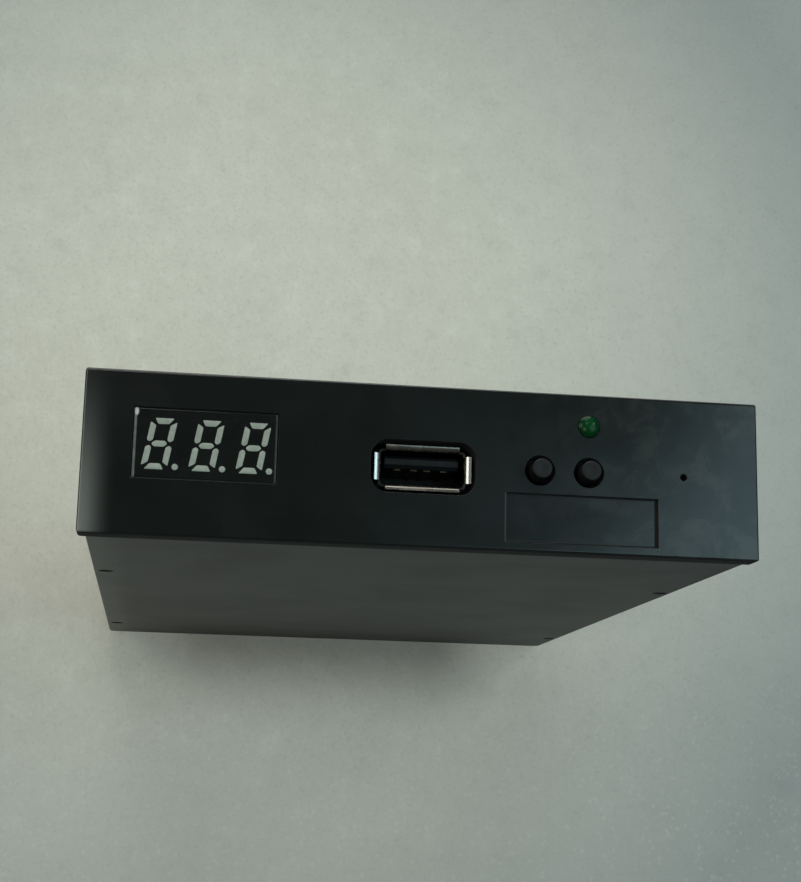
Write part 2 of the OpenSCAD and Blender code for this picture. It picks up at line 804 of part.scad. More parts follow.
// A lip bent outwards through a quarter turn of inside radius r, along X and pointing up
module usb_lip(l, r) {
  outer = r + sheet_t;
  translate([-l / 2, shell_front, 0]) rotate([90, 0, 90]) linear_extrude(l) intersection() {
    translate([0, outer]) difference() {
      circle(r = outer);
      circle(r = r);
    }
    translate([-outer, 0]) square(outer);
  }
}

module usb_shell() color([0.8, 0.8, 0.8]) placed() translate([usb_x, 0, usb_mid]) {
  front_slab(shell_front, shell_rear) difference() {
    round_rect(usb_w + 2 * sheet_t, usb_h + 2 * sheet_t, 2 * sheet_t);
    round_rect(usb_w, usb_h, sheet_t);
  }
  for (a = [0, 180]) {
    rotate([0, a, 0]) translate([0, 0, usb_h / 2]) usb_lip(usb_w - 4 * sheet_t, flare_r);
    rotate([0, a + 90, 0]) translate([0, 0, usb_w / 2]) usb_lip(usb_h - 3 * sheet_t, side_flare_r);
  }
  for (s = [-1, 1]) translate([s * (usb_w + sheet_t) / 2, usb_leg_y, 0])
    box([-sheet_t / 2, -usb_leg_w / 2, lead_end - usb_mid], [sheet_t / 2, usb_leg_w / 2, 0]);
}

// The insulator: a rear block with the tongue on its front and a foot on the board
module usb_tongue() color([0.08, 0.09, 0.1]) placed() {
  half_w = usb_w / 2 - seat_gap;
  half_h = usb_h / 2 - seat_gap;
  difference() {
    union() {
      translate([usb_x, 0, usb_mid]) front_slab(shell_rear - insulator_l, shell_rear)
        round_rect(2 * half_w, 2 * half_h, sheet_t);
      translate([usb_x, shell_rear, 0]) box([-half_w, 0, board_top], [half_w, foot_l, usb_mid + half_h]);
      translate([usb_x - tongue_w / 2, 0, tongue_bottom]) rotate([90, 0, 90]) linear_extrude(tongue_w)
        polygon([[tongue_front, tongue_nose], [tongue_front + tongue_nose, 0], [shell_rear, 0],
          [shell_rear, tongue_t], [tongue_front + tongue_nose, tongue_t],
          [tongue_front, tongue_t - tongue_nose]]);
    }
    for (place = contact_places) translate([usb_x + place, shell_rear, tongue_bottom])
      box([-contact_w / 2 - seat_gap, -insulator_l - over, -contact_t - seat_gap],
        [contact_w / 2 + seat_gap, foot_l + over, 0]);
  }
}

module usb_contact() {
  rear = contact_leg_y + contact_t / 2;
  translate([-contact_w / 2, 0, 0]) {
    box([0, tongue_front + contact_w, tongue_bottom - contact_t], [contact_w, rear, tongue_bottom]);
    box([0, rear - contact_t, lead_end], [contact_w, rear, tongue_bottom]);
  }
}

module usb_contacts() color([0.8, 0.68, 0.35]) placed()
  for (place = contact_places) translate([usb_x + place, 0, 0]) usb_contact();

// Lamp

// Round headed lens with a flange behind the panel
module lamp_lens() color([0.05, 0.4, 0.12]) placed() translate([lamp_x, 0, lamp_mid]) rotate([-90, 0, 0]) {
  r = lamp_d / 2;
  translate([0, 0, r - lamp_proud]) sphere(r = r);
  translate([0, 0, r - lamp_proud]) cylinder(r = r, h = panel_t + lamp_proud - r + lamp_flange_t);
  translate([0, 0, panel_t]) cylinder(d = lamp_flange_d, h = lamp_flange_t);
}

module lamp_leads() color([0.75, 0.75, 0.75]) placed() for (s = [-1, 1])
  bent_wire(lamp_x + s * lamp_lead_x, lamp_mid, lamp_lead_w, panel_t + lamp_flange_t, lamp_lead_y);

// Buttons and their switches

// Plunger: a shaft through the panel with a collar that the switch frame holds back
module plunger(x) {
  bar_y(x, button_mid, button_d, -button_proud, collar_rear);
  bar_y(x, button_mid, collar_d, collar_front, collar_rear);
}

module switch_block(x) {
  half = switch_w / 2;
  difference() {
    box([x - half, block_front, board_top], [x + half, block_rear, button_mid + half]);
    bar_y(x, button_mid, cup_d, block_front - over, dome_rear);
  }
}

// Sheet frame: a front plate with side straps and legs into the board
module switch_frame(x) {
  half = switch_w / 2;
  difference() {
    box([x - half - frame_t, switch_front, button_mid - half],
      [x + half + frame_t, block_front, button_mid + half]);
    bar_y(x, button_mid, button_d + 2 * plunger_gap, switch_front - over, block_front + over);
  }
  for (s = [-1, 1]) translate([x + s * (half + frame_t / 2), 0, 0]) {
    box([-frame_t / 2, switch_front, button_mid - half / 2],
      [frame_t / 2, block_rear, button_mid + half / 2]);
    translate([0, frame_leg_y, 0])
      box([-frame_t / 2, -frame_leg_w / 2, lead_end], [frame_t / 2, frame_leg_w / 2, button_mid]);
  }
}

// Snap disc on the floor of the switch block
module switch_dome(x) {
  rim = cup_d / 2 - plunger_gap / 2;
  translate([x, dome_rear, button_mid]) rotate([90, 0, 0]) rotate_extrude()
    polygon([[0, dome_rise], [rim, 0], [rim, dome_t], [0, dome_rise + dome_t]]);
}

module button_left() color([0.15, 0.16, 0.16]) placed() plunger(button_x);

module button_right() color([0.15, 0.16, 0.16]) placed() plunger(button_x + button_pitch);

module switch_block_left() color([0.1, 0.1, 0.1]) placed() switch_block(button_x);

module switch_block_right() color([0.1, 0.1, 0.1]) placed() switch_block(button_x + button_pitch);

module switch_frame_left() color([0.7, 0.7, 0.7]) placed() switch_frame(button_x);

module switch_frame_right() color([0.7, 0.7, 0.7]) placed() switch_frame(button_x + button_pitch);

module switch_dome_left() color([0.75, 0.73, 0.65]) placed() switch_dome(button_x);

module switch_dome_right() color([0.75, 0.73, 0.65]) placed() switch_dome(button_x + button_pitch);

module switch_leads() color([0.75, 0.75, 0.75]) placed() for (i = [0, 1], s = [-1, 1])
  bent_wire(button_x + i * button_pitch + s * switch_lead_x, board_top + switch_lead_z, switch_lead_w,
    block_rear, switch_lead_y);

// Pieces on the board

// A gull wing lead of a given width, thickness, reach and rise, which leaves a chip along +Y
module gull_lead(size) {
  t = size[1];
  reach = size[2];
  rise = size[3];
  translate([-size[0] / 2, 0, 0]) rotate([90, 0, 90]) linear_extrude(size[0])
    polygon([[0, rise], [0.35 * reach, rise], [0.5 * reach, 0], [reach, 0], [reach, t],
      [0.5 * reach + t, t], [0.35 * reach + t, rise + t], [0, rise + t]]);
}

module controller_chip() color([0.09, 0.09, 0.1]) placed()
  box([-controller_w / 2, controller_y - controller_w / 2, board_top + chip_lift],
    [controller_w / 2, controller_y + controller_w / 2, board_top + chip_lift + controller_h]);

module controller_leads() color([0.78, 0.78, 0.78]) placed() translate([0, controller_y, board_top])
  for (a = [0:90:270], i = [0:controller_side - 1]) rotate([0, 0, a])
    translate([column_x(0, controller_side, controller_pitch, i), controller_w / 2, 0])
      gull_lead(controller_lead);

module driver_chip() color([0.09, 0.09, 0.1]) placed()
  box([driver_x - driver_l / 2, driver_y - driver_w / 2, board_top + chip_lift],
    [driver_x + driver_l / 2, driver_y + driver_w / 2, board_top + chip_lift + driver_h]);

module driver_leads() color([0.78, 0.78, 0.78]) placed() translate([driver_x, driver_y, board_top])
  for (a = [0, 180], i = [0:driver_side - 1]) rotate([0, 0, a])
    translate([column_x(0, driver_side, driver_pitch, i), driver_w / 2, 0])
      gull_lead(driver_lead);

// Flat can with half round ends on a wider foot
module crystal_layer(w, h) {
  straight = crystal_l - crystal_w;
  linear_extrude(h) {
    square([straight, w], center = true);
    for (s = [-1, 1]) translate([s * straight / 2, 0]) circle(d = w);
  }
}

module crystal_can() color([0.75, 0.75, 0.76]) placed() translate([crystal_x, controller_y, board_top]) {
  crystal_layer(crystal_w, crystal_foot);
  crystal_layer(crystal_w - 2 * crystal_foot, crystal_h);
}

module crystal_leads() color([0.75, 0.75, 0.75]) placed() translate([crystal_x, controller_y, board_top])
  for (s = [0, 180]) rotate([0, 0, s]) translate([crystal_l / 2 + seat_gap, -crystal_pad_w / 2, 0])
    cube([crystal_pad_l, crystal_pad_w, crystal_pad_h]);

module regulator() color([0.1, 0.1, 0.1]) placed()
  box([regulator_x - regulator_l / 2, regulator_y - regulator_w / 2, board_top + chip_lift],
    [regulator_x + regulator_l / 2, regulator_y + regulator_w / 2, board_top + chip_lift + regulator_h]);

module regulator_leads() color([0.78, 0.78, 0.78]) placed()
  translate([regulator_x, regulator_y, board_top]) {
    for (i = [-1, 0, 1]) translate([i * regulator_pitch, regulator_w / 2, 0]) gull_lead(regulator_lead);
    rotate([0, 0, 180]) translate([0, regulator_w / 2, 0]) gull_lead(regulator_tab);
  }

module capacitor_can() color([0.78, 0.78, 0.8]) placed() translate([can_x, can_y, board_top + can_base_h])
  rotate_extrude() {
    r = can_d / 2;
    g = can_groove;
    polygon([[0, 0], [r, 0], [r, 3 * g], [r - g, 4 * g], [r - g, 5 * g], [r, 6 * g], [r, can_h - can_edge],
      [r - can_edge, can_h], [0, can_h]]);
  }

module capacitor_base() color([0.08, 0.08, 0.08]) placed() translate([can_x, can_y, board_top])
  linear_extrude(can_base_h) difference() {
    square(can_base_w, center = true);
    for (s = [-1, 1]) translate([s * can_base_w / 2, can_base_w / 2]) rotate(45)
      square(can_notch, center = true);
  }

// Ranks of small two ended parts about a place on the board
module chip_rank(x, y, columns, rows, h) {
  for (i = [0:columns - 1], j = [0:rows - 1])
    translate([column_x(x, columns, rank_pitch, i), column_x(y, rows, rank_pitch, j), board_top])
      box([-chip_l / 2, -chip_w / 2, 0], [chip_l / 2, chip_w / 2, h]);
}

module chip_resistors() color([0.12, 0.12, 0.12]) placed()
  chip_rank(resistor_x, controller_y, 3, 4, resistor_h);

module chip_capacitors() color([0.62, 0.52, 0.38]) placed()
  chip_rank(0, ceramic_y, 4, 2, ceramic_h);

// Rear headers

// Moulded bar of a two row header, with a channel for each pin
module header_body(mid, half, columns) {
  difference() {
    box([mid - half, header_front, board_top], [mid + half, header_rear, board_top + 2 * pin_pitch]);
    for (i = [0:columns - 1], row = [0, 1])
      pin_channel(column_x(mid, columns, pin_pitch, i), row_z(row), header_front, header_rear);
  }
}

module pin_channel(x, z, y0, y1) {
  half = pin_w / 2 + seat_gap;
  box([x - half, y0 - over, z - half], [x + half, y1 + over, z + half]);
}

module header_pins(mid, columns) {
  for (i = [0:columns - 1], row = [0, 1])
    bent_wire(column_x(mid, columns, pin_pitch, i), row_z(row), pin_w, pin_tip, leg_y(row));
}

module data_header() color([0.08, 0.08, 0.08]) placed() header_body(data_x, data_half, data_columns);

module data_pins() color([0.8, 0.68, 0.35]) placed() header_pins(data_x, data_columns);

module jumper_header() color([0.08, 0.08, 0.08]) placed() header_body(jumper_x, jumper_half, jumper_columns);

module jumper_pins() color([0.8, 0.68, 0.35]) placed() header_pins(jumper_x, jumper_columns);

// Power header: a back wall that holds the pins and a shelf below them with two keys
module power_header() color([0.86, 0.85, 0.8]) placed() {
  front = header_rear - power_d;
  leg_slot = pin_w / 2 + seat_gap;
  difference() {
    translate([power_x, 0, board_top]) {
      box([-power_half, front, 0], [power_half, header_rear, power_h]);
      box([-power_half, front, 0], [power_half, pin_tip, shelf_t]);
      for (s = [-1, 1]) translate([s * (power_half - key_w), 0, 0])
        box([-key_w / 2, front, 0], [key_w / 2, pin_tip, shelf_t + key_h]);
    }
    for (i = [0:power_columns - 1]) {
      x = column_x(power_x, power_columns, power_pitch, i);
      pin_channel(x, board_top + power_z, front, header_rear);
      box([x - leg_slot, leg_y(0) - leg_slot, board_top - over],
        [x + leg_slot, leg_y(0) + leg_slot, board_top + power_z]);
    }
  }
}

module power_pins() color([0.78, 0.78, 0.78]) placed() for (i = [0:power_columns - 1])
  bent_wire(column_x(power_x, power_columns, power_pitch, i), board_top + power_z, pin_w, pin_tip, leg_y(0));

// Jumper cap over the first column of the jumper header, with a folded clip that grips the pins

module at_jumper() {
  translate([column_x(jumper_x, jumper_columns, pin_pitch, 0), cap_start, board_top + pin_pitch]) children();
}

module jumper_cap() color([0.1, 0.1, 0.12]) placed() at_jumper() difference() {
  box([-cap_w / 2, 0, -cap_h / 2], [cap_w / 2, cap_l, cap_h / 2]);
  box([-slot_w / 2, -over, -slot_h / 2], [slot_w / 2, cap_slot_l, slot_h / 2]);
}

module jumper_clip() color([0.8, 0.68, 0.35]) placed() at_jumper()
  translate([0, 0, -clip_h / 2]) linear_extrude(clip_h) difference() {
    translate([-clip_w / 2, 0]) square([clip_w, cap_slot_l]);
    translate([clip_t - clip_w / 2, -over]) square([clip_w - 2 * clip_t, cap_slot_l - clip_t + over]);
  }

front_panel();
bottom_case();
top_cover();
cover_screws();
main_board();
board_screws();
display_block();
display_bars();
display_pins();
usb_shell();
usb_tongue();
usb_contacts();
lamp_lens();
lamp_leads();
button_left();
button_right();
switch_block_left();
switch_block_right();
switch_frame_left();
switch_frame_right();
switch_dome_left();
switch_dome_right();
switch_leads();
controller_chip();
controller_leads();
driver_chip();
driver_leads();
crystal_can();
crystal_leads();
regulator();
regulator_leads();
capacitor_can();
capacitor_base();
chip_resistors();
chip_capacitors();
data_header();
data_pins();
power_header();
power_pins();
jumper_header();
jumper_pins();
jumper_cap();
jumper_clip();
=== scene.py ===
import math

import bpy
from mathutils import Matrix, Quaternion, Vector


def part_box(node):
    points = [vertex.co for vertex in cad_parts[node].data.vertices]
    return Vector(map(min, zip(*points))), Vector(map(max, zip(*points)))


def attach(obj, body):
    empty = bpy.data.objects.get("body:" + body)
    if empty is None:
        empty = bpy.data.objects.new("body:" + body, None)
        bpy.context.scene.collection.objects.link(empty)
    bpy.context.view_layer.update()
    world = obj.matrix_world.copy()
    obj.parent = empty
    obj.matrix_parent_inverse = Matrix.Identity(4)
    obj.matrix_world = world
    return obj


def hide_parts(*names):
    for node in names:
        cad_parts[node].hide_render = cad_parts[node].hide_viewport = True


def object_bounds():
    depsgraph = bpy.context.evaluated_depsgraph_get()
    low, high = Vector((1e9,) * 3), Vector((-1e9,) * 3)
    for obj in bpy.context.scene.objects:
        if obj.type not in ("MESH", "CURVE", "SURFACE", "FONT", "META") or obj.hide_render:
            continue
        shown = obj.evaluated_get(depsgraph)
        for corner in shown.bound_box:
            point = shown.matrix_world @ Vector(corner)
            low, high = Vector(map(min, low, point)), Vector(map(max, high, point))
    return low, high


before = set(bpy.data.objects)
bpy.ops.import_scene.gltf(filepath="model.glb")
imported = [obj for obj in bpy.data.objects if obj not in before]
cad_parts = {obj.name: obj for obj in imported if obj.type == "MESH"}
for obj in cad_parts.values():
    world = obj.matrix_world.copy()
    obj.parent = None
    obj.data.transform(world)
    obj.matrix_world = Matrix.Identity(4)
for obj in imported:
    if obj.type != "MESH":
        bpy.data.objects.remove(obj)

cadBox = [list(corner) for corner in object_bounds()]
mm = 0.001
square = 0.99  # a face looks along an axis when its normal has this much of it
cutSlack = 1e-7
print("frame loaded with", len(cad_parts), "nodes")


# selecting and editing, as by hand

def clearSelection():
    if bpy.context.mode != "OBJECT":
        bpy.ops.object.mode_set(mode="OBJECT")
    bpy.ops.object.select_all(action="DESELECT")


def workOn(piece):
    clearSelection()
    piece.select_set(True)
    bpy.context.view_layer.objects.active = piece


def editMode(on):
    bpy.ops.object.mode_set(mode="EDIT" if on else "OBJECT")


def pickAll():
    bpy.ops.mesh.select_all(action="SELECT")


def pickFaces(piece, test):  # test gets a face's centre and normal
    bpy.ops.mesh.select_mode(type="FACE")
    bpy.ops.mesh.select_all(action="DESELECT")
    editMode(False)
    for face in piece.data.polygons:
        face.select = test(face.center, face.normal)
    editMode(True)


def pickEdges(piece, test):  # test gets an edge's two ends
    bpy.ops.mesh.select_mode(type="EDGE")
    bpy.ops.mesh.select_all(action="DESELECT")
    editMode(False)
    points = piece.data.vertices
    for edge in piece.data.edges:
        edge.select = test(*[points[i].co for i in edge.vertices])
    editMode(True)


def near(a, b):
    return abs(a - b) < 0.01 * mm


def alongY(a, b):
    return near(a.x, b.x) and near(a.z, b.z)


def addModifier(piece, kind, **settings):
    workOn(piece)
    modifier = piece.modifiers.new(kind.title(), kind)
    for key, value in settings.items():
        setattr(modifier, key, value)
    bpy.ops.object.modifier_apply(modifier=modifier.name)


def settle(piece):  # the place goes into the mesh
    workOn(piece)
    bpy.ops.object.transform_apply(location=True, rotation=True, scale=True)


def addBlock(name, low, high):  # a cube primitive between two corners
    clearSelection()
    low, high = Vector(low), Vector(high)
    bpy.ops.mesh.primitive_cube_add(size=1, location=(low + high) / 2)
    piece = bpy.context.object
    piece.name = name
    piece.scale = high - low
    settle(piece)
    return piece


def addRod(name, centre, radius, length, turn=(math.pi / 2, 0, 0), sides=48):  # along Y unless turned
    clearSelection()
    bpy.ops.mesh.primitive_cylinder_add(
        vertices=sides, radius=radius, depth=length, location=centre, rotation=turn)
    piece = bpy.context.object
    piece.name = name
    settle(piece)
    return piece


def copyPiece(piece, shift=(0, 0, 0), turn=(0, 0, 0)):
    workOn(piece)
    bpy.ops.object.duplicate(linked=False)
    copy = bpy.context.object
    copy.location = shift
    copy.rotation_euler = turn
    settle(copy)
    return copy


def joinPieces(pieces, name):
    clearSelection()
    for piece in pieces:
        piece.select_set(True)
    bpy.context.view_layer.objects.active = pieces[0]
    bpy.ops.object.join()
    pieces[0].name = name
    return pieces[0]


def sliceOff(piece, point, normal):  # cuts away what lies beyond a plane
    workOn(piece)
    editMode(True)
    pickAll()
    bpy.ops.mesh.bisect(plane_co=point, plane_no=Vector(normal).normalized(), use_fill=True, clear_outer=True,
                        threshold=cutSlack)
    editMode(False)


def cutAway(piece, tool):
    addModifier(piece, "BOOLEAN", object=tool, operation="DIFFERENCE", solver="EXACT")
    bpy.data.objects.remove(tool)


def repeatAlongX(piece, count, step):
    addModifier(piece, "ARRAY", count=count, use_relative_offset=False, use_constant_offset=True,
                constant_offset_displace=(step, 0, 0))


def extrudeBy(x, y, z):
    bpy.ops.mesh.extrude_region_move(TRANSFORM_OT_translate={"value": (x, y, z)})


def growCollar(centre, startY, grow, length):  # widens the picked end of a rod and draws it out along Y
    bpy.ops.mesh.extrude_region_move()
    bpy.ops.transform.resize(value=(grow, 1, grow), center_override=(centre.x, startY, centre.z))
    extrudeBy(0, length, 0)
    pickAll()
    bpy.ops.mesh.normals_make_consistent(inside=False)
    editMode(False)


def roundEdges(piece, test, width, segments=3):
    workOn(piece)
    editMode(True)
    pickEdges(piece, test)
    bpy.ops.mesh.bevel(offset=width, segments=segments, affect="EDGES")
    editMode(False)


def softEdges(piece, angle):
    workOn(piece)
    bpy.ops.object.shade_smooth_by_angle(angle=math.radians(angle))


def handOver(piece, body, slotName, material, *nodes, angle=35):
    softEdges(piece, angle)
    piece.data.materials.clear()
    piece.data.materials.append(material)
    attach(piece, body)
    if nodes:
        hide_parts(*nodes)


# shader nodes

def addNode(tree, kind, values=None, **settings):
    node = tree.nodes.new(kind)
    for key, value in settings.items():
        setattr(node, key, value)
    for key, value in (values or {}).items():
        node.inputs[key].default_value = value
    return node


def wire(tree, *links):
    for source, target in links:
        tree.links.new(source, target)


def calc(tree, operation, a, b=0.0, clamp=False):
    node = addNode(tree, "ShaderNodeMath", operation=operation, use_clamp=clamp)
    for i, value in enumerate((a, b)):
        if isinstance(value, (int, float)):
            node.inputs[i].default_value = value
        else:
            tree.links.new(value, node.inputs[i])
    return node.outputs[0]


def ramp(tree, value, low, high, toLow=0.0, toHigh=1.0):
    node = addNode(tree, "ShaderNodeMapRange", {
        "From Min": low, "From Max": high, "To Min": toLow, "To Max": toHigh},
        interpolation_type="SMOOTHSTEP")
    tree.links.new(value, node.inputs["Value"])
    return node.outputs["Result"]


def nearEdge(tree, axis, edge, start, end, *shown):  # start and end lie in mm from the edge
    return ramp(tree, axis, edge + start * mm, edge + end * mm, *shown)


def product(tree, first, *others):
    for other in others:
        first = calc(tree, "MULTIPLY", first, other)
    return first


def largest(tree, first, *others):
    for other in others:
        first = calc(tree, "MAXIMUM", first, other)
    return first


def axesOf(tree, vector):  # its X, Y and Z
    node = addNode(tree, "ShaderNodeSeparateXYZ")
    wire(tree, (vector, node.inputs[0]))
    return node.outputs


def distanceTo(tree, place, point):
    node = addNode(tree, "ShaderNodeVectorMath", operation="DISTANCE")
    node.inputs[1].default_value = point
    wire(tree, (place, node.inputs[0]))
    return node.outputs["Value"]


def noiseAt(tree, place, **values):
    node = addNode(tree, "ShaderNodeTexNoise", values)
    wire(tree, (place, node.inputs["Vector"]))
    return node.outputs["Fac"]


def blendColours(tree, mask, a, b):
    node = addNode(tree, "ShaderNodeMix", data_type="RGBA")
    for socket, value in ((node.inputs[0], mask), (node.inputs[6], a), (node.inputs[7], b)):
        if isinstance(value, (tuple, list)):
            socket.default_value = (*value, 1)
        elif isinstance(value, (int, float)):
            socket.default_value = value
        else:
            tree.links.new(value, socket)
    return node.outputs[2]


def newGroup(name, inputs, outputs):
    group = bpy.data.node_groups.new(name, "ShaderNodeTree")
    for label, kind, value in inputs:
        socket = group.interface.new_socket(label, in_out="INPUT", socket_type=kind)
        if value is not None:
            socket.default_value = value
    for label in outputs:
        group.interface.new_socket(label, in_out="OUTPUT", socket_type="NodeSocketFloat")
    return group, addNode(group, "NodeGroupInput"), addNode(group, "NodeGroupOutput")


def useGroup(tree, group, vector, values):
    node = addNode(tree, "ShaderNodeGroup", node_tree=group)
    for key, value in values.items():
        node.inputs[key].default_value = value
    tree.links.new(vector, node.inputs["Vector"])
    return node


def buildMouldGrain():  # spark eroded grain of a mould, as a height and a slow tone
    group, entry, leave = newGroup("mouldGrain", [
        ("Vector", "NodeSocketVector", None), ("Grain", "NodeSocketFloat", 4500),
        ("Drift", "NodeSocketFloat", 60)], ["Height", "Tone"])
    pits = addNode(group, "ShaderNodeTexVoronoi", feature="SMOOTH_F1")
    fine = addNode(group, "ShaderNodeTexNoise", {"Detail": 3, "Roughness": 0.6})
    slow = addNode(group, "ShaderNodeTexNoise", {"Detail": 4, "Roughness": 0.55})
    for node, scale in ((pits, "Grain"), (fine, "Grain"), (slow, "Drift")):
        wire(group, (entry.outputs["Vector"], node.inputs["Vector"]),
             (entry.outputs[scale], node.inputs["Scale"]))
    height = calc(group, "ADD", product(group, pits.outputs["Distance"], 0.6),
                  product(group, fine.outputs["Fac"], 0.6))
    tone = calc(group, "ADD", product(group, fine.outputs["Fac"], 0.4),
                product(group, slow.outputs["Fac"], 0.6))
    wire(group, (height, leave.inputs["Height"]), (tone, leave.inputs["Tone"]))
    return group


def buildHandling():  # smudges, fine scratches and dust
    group, entry, leave = newGroup("handling", [
        ("Vector", "NodeSocketVector", None), ("Smudge Scale", "NodeSocketFloat", 45),
        ("Dust Scale", "NodeSocketFloat", 900)], ["Smudge", "Scratch", "Dust"])
    smudge = addNode(group, "ShaderNodeTexNoise", {"Detail": 5, "Roughness": 0.6, "Distortion": 0.4})
    wire(group, (entry.outputs["Vector"], smudge.inputs["Vector"]),
         (entry.outputs["Smudge Scale"], smudge.inputs["Scale"]))
    turn = addNode(group, "ShaderNodeMapping", {
        "Rotation": (0.2, 0.5, 0.9), "Scale": (60, 2600, 2600)})
    lines = addNode(group, "ShaderNodeTexNoise", {"Scale": 1, "Detail": 1})
    wire(group, (entry.outputs["Vector"], turn.inputs["Vector"]),
         (turn.outputs["Vector"], lines.inputs["Vector"]))
    specks = addNode(group, "ShaderNodeTexVoronoi", {"Randomness": 1})
    wire(group, (entry.outputs["Vector"], specks.inputs["Vector"]),
         (entry.outputs["Dust Scale"], specks.inputs["Scale"]))
    size = addNode(group, "ShaderNodeSeparateColor")
    wire(group, (specks.outputs["Color"], size.inputs["Color"]))
    grown = ramp(group, size.outputs["Red"], 0.55, 1, 0, 0.34)
    dust = ramp(group, calc(group, "SUBTRACT", grown, specks.outputs["Distance"]), 0, 0.12)
    wire(group, (ramp(group, smudge.outputs["Fac"], 0.35, 0.7), leave.inputs["Smudge"]),
         (ramp(group, lines.outputs["Fac"], 0.70, 0.80), leave.inputs["Scratch"]),
         (dust, leave.inputs["Dust"]))
    return group


def buildDrawnLines():  # fine lines of drawn, rolled or plated metal
    group, entry, leave = newGroup("drawnLines", [
        ("Vector", "NodeSocketVector", None), ("Along", "NodeSocketVector", (200, 6000, 6000)),
        ("Stain Scale", "NodeSocketFloat", 300)], ["Lines", "Stain"])
    stretch = addNode(group, "ShaderNodeVectorMath", operation="MULTIPLY")
    lines = addNode(group, "ShaderNodeTexNoise", {"Scale": 1, "Detail": 2})
    stain = addNode(group, "ShaderNodeTexNoise", {"Detail": 5, "Roughness": 0.65})
    wire(group, (entry.outputs["Vector"], stretch.inputs[0]), (entry.outputs["Along"], stretch.inputs[1]),
         (stretch.outputs["Vector"], lines.inputs["Vector"]),
         (entry.outputs["Vector"], stain.inputs["Vector"]),
         (entry.outputs["Stain Scale"], stain.inputs["Scale"]),
         (lines.outputs["Fac"], leave.inputs["Lines"]),
         (ramp(group, stain.outputs["Fac"], 0.4, 0.72), leave.inputs["Stain"]))
    return group


mouldGrain = buildMouldGrain()
handling = buildHandling()
drawnLines = buildDrawnLines()
print("shared effects built")


def newMaterial(name):
    material = bpy.data.materials.new(name)
    material.use_nodes = True
    tree = material.node_tree
    shader = tree.nodes["Principled BSDF"]
    place = addNode(tree, "ShaderNodeTexCoord").outputs["Object"]
    return material, tree, shader, place


def addBump(tree, shader, height, depth, edge=0.0):
    bump = addNode(tree, "ShaderNodeBump", {"Strength": 1, "Distance": depth})
    wire(tree, (height, bump.inputs["Height"]), (bump.outputs["Normal"], shader.inputs["Normal"]))
    if edge:  # eases the sharp edges of a moulding
        rounded = addNode(tree, "ShaderNodeBevel", {"Radius": edge}, samples=4)
        wire(tree, (rounded.outputs["Normal"], bump.inputs["Normal"]))


def faceMask(tree, axis):  # 1 on faces that look towards the low end of an axis
    normal = addNode(tree, "ShaderNodeTexCoord").outputs["Normal"]
    return ramp(tree, axesOf(tree, normal)[axis], -0.6, -0.95)


paleLook = {"colour": (0.36, 0.375, 0.34), "fall": (26 * mm, 0, 0.04, 1)}  # pale colour of the painted haze at one end, fading higher up; the pale smears and the painted highlight on the label's edge share this colour


def dullSides(tree, rough, sideRough):  # only the front is polished
    front = faceMask(tree, "Y")
    sides = calc(tree, "SUBTRACT", 1.0, front)
    return largest(tree, product(tree, rough, front), product(tree, sides, sideRough))


def paintHazeAtEnd(tree, place, base, look):  # painted haze, paler towards one end and weaker higher up
    axes = axesOf(tree, place)
    hazed = calc(tree, "POWER", ramp(tree, axes["X"], *look["paintedHazeEnd"]), 2.0)
    hazed = product(tree, hazed, ramp(tree, axes["Z"], *paleLook["fall"]),
                     faceMask(tree, look["paintedHazeFace"]), look["paintedHazeAmount"])
    return blendColours(tree, hazed, base, paleLook["colour"])


def smearFront(tree, place, base, smearSpread):  # pale smears on the front, more towards one end
    smear = noiseAt(tree, place, Scale=170, Detail=6, Roughness=0.65, Distortion=0.6)
    shown = product(tree, ramp(tree, smear, 0.42, 0.68), faceMask(tree, "Y"),
                    ramp(tree, axesOf(tree, place)["X"], *smearSpread))
    return blendColours(tree, shown, base, paleLook["colour"])


def paintFieldShadeAndHighlight(tree, place, base, rough, field):  # painted shade along three sides of a sunk field, made duller there too, and a painted highlight on its left edge
    axes = axesOf(tree, place)
    sunk = nearEdge(tree, axes["Y"], field["floor"], -0.1, -0.06)
    for axis, low, high in (("X", "left", "right"), ("Z", "bottom", "top")):
        sunk = product(tree, sunk, nearEdge(tree, axes[axis], field[low], -0.2, -0.1),
                       nearEdge(tree, axes[axis], field[high], 0.2, 0.1))
    # painted shade in bands inside the top, right and bottom walls
    bands = [nearEdge(tree, axes[axis], field[side], *reach) for axis, side, reach in field["bands"]]
    paintedShade = product(tree, largest(tree, *bands), sunk)
    rough = largest(tree, rough, product(tree, paintedShade, field["paintedShadeRough"]))
    base = blendColours(tree, product(tree, paintedShade, field["paintedShade"]), base, field["paintedShadeColour"])
    # a painted highlight along its left edge
    paintedHighlight = product(tree, nearEdge(tree, axes["X"], field["left"], -0.3, -0.15),
                   nearEdge(tree, axes["X"], field["left"], 0.1, 0),
                   nearEdge(tree, axes["Z"], field["bottom"], 0, 0.1),
                   nearEdge(tree, axes["Z"], field["top"], 0, -0.1), field["paintedHighlight"])
    return blendColours(tree, paintedHighlight, base, paleLook["colour"]), rough


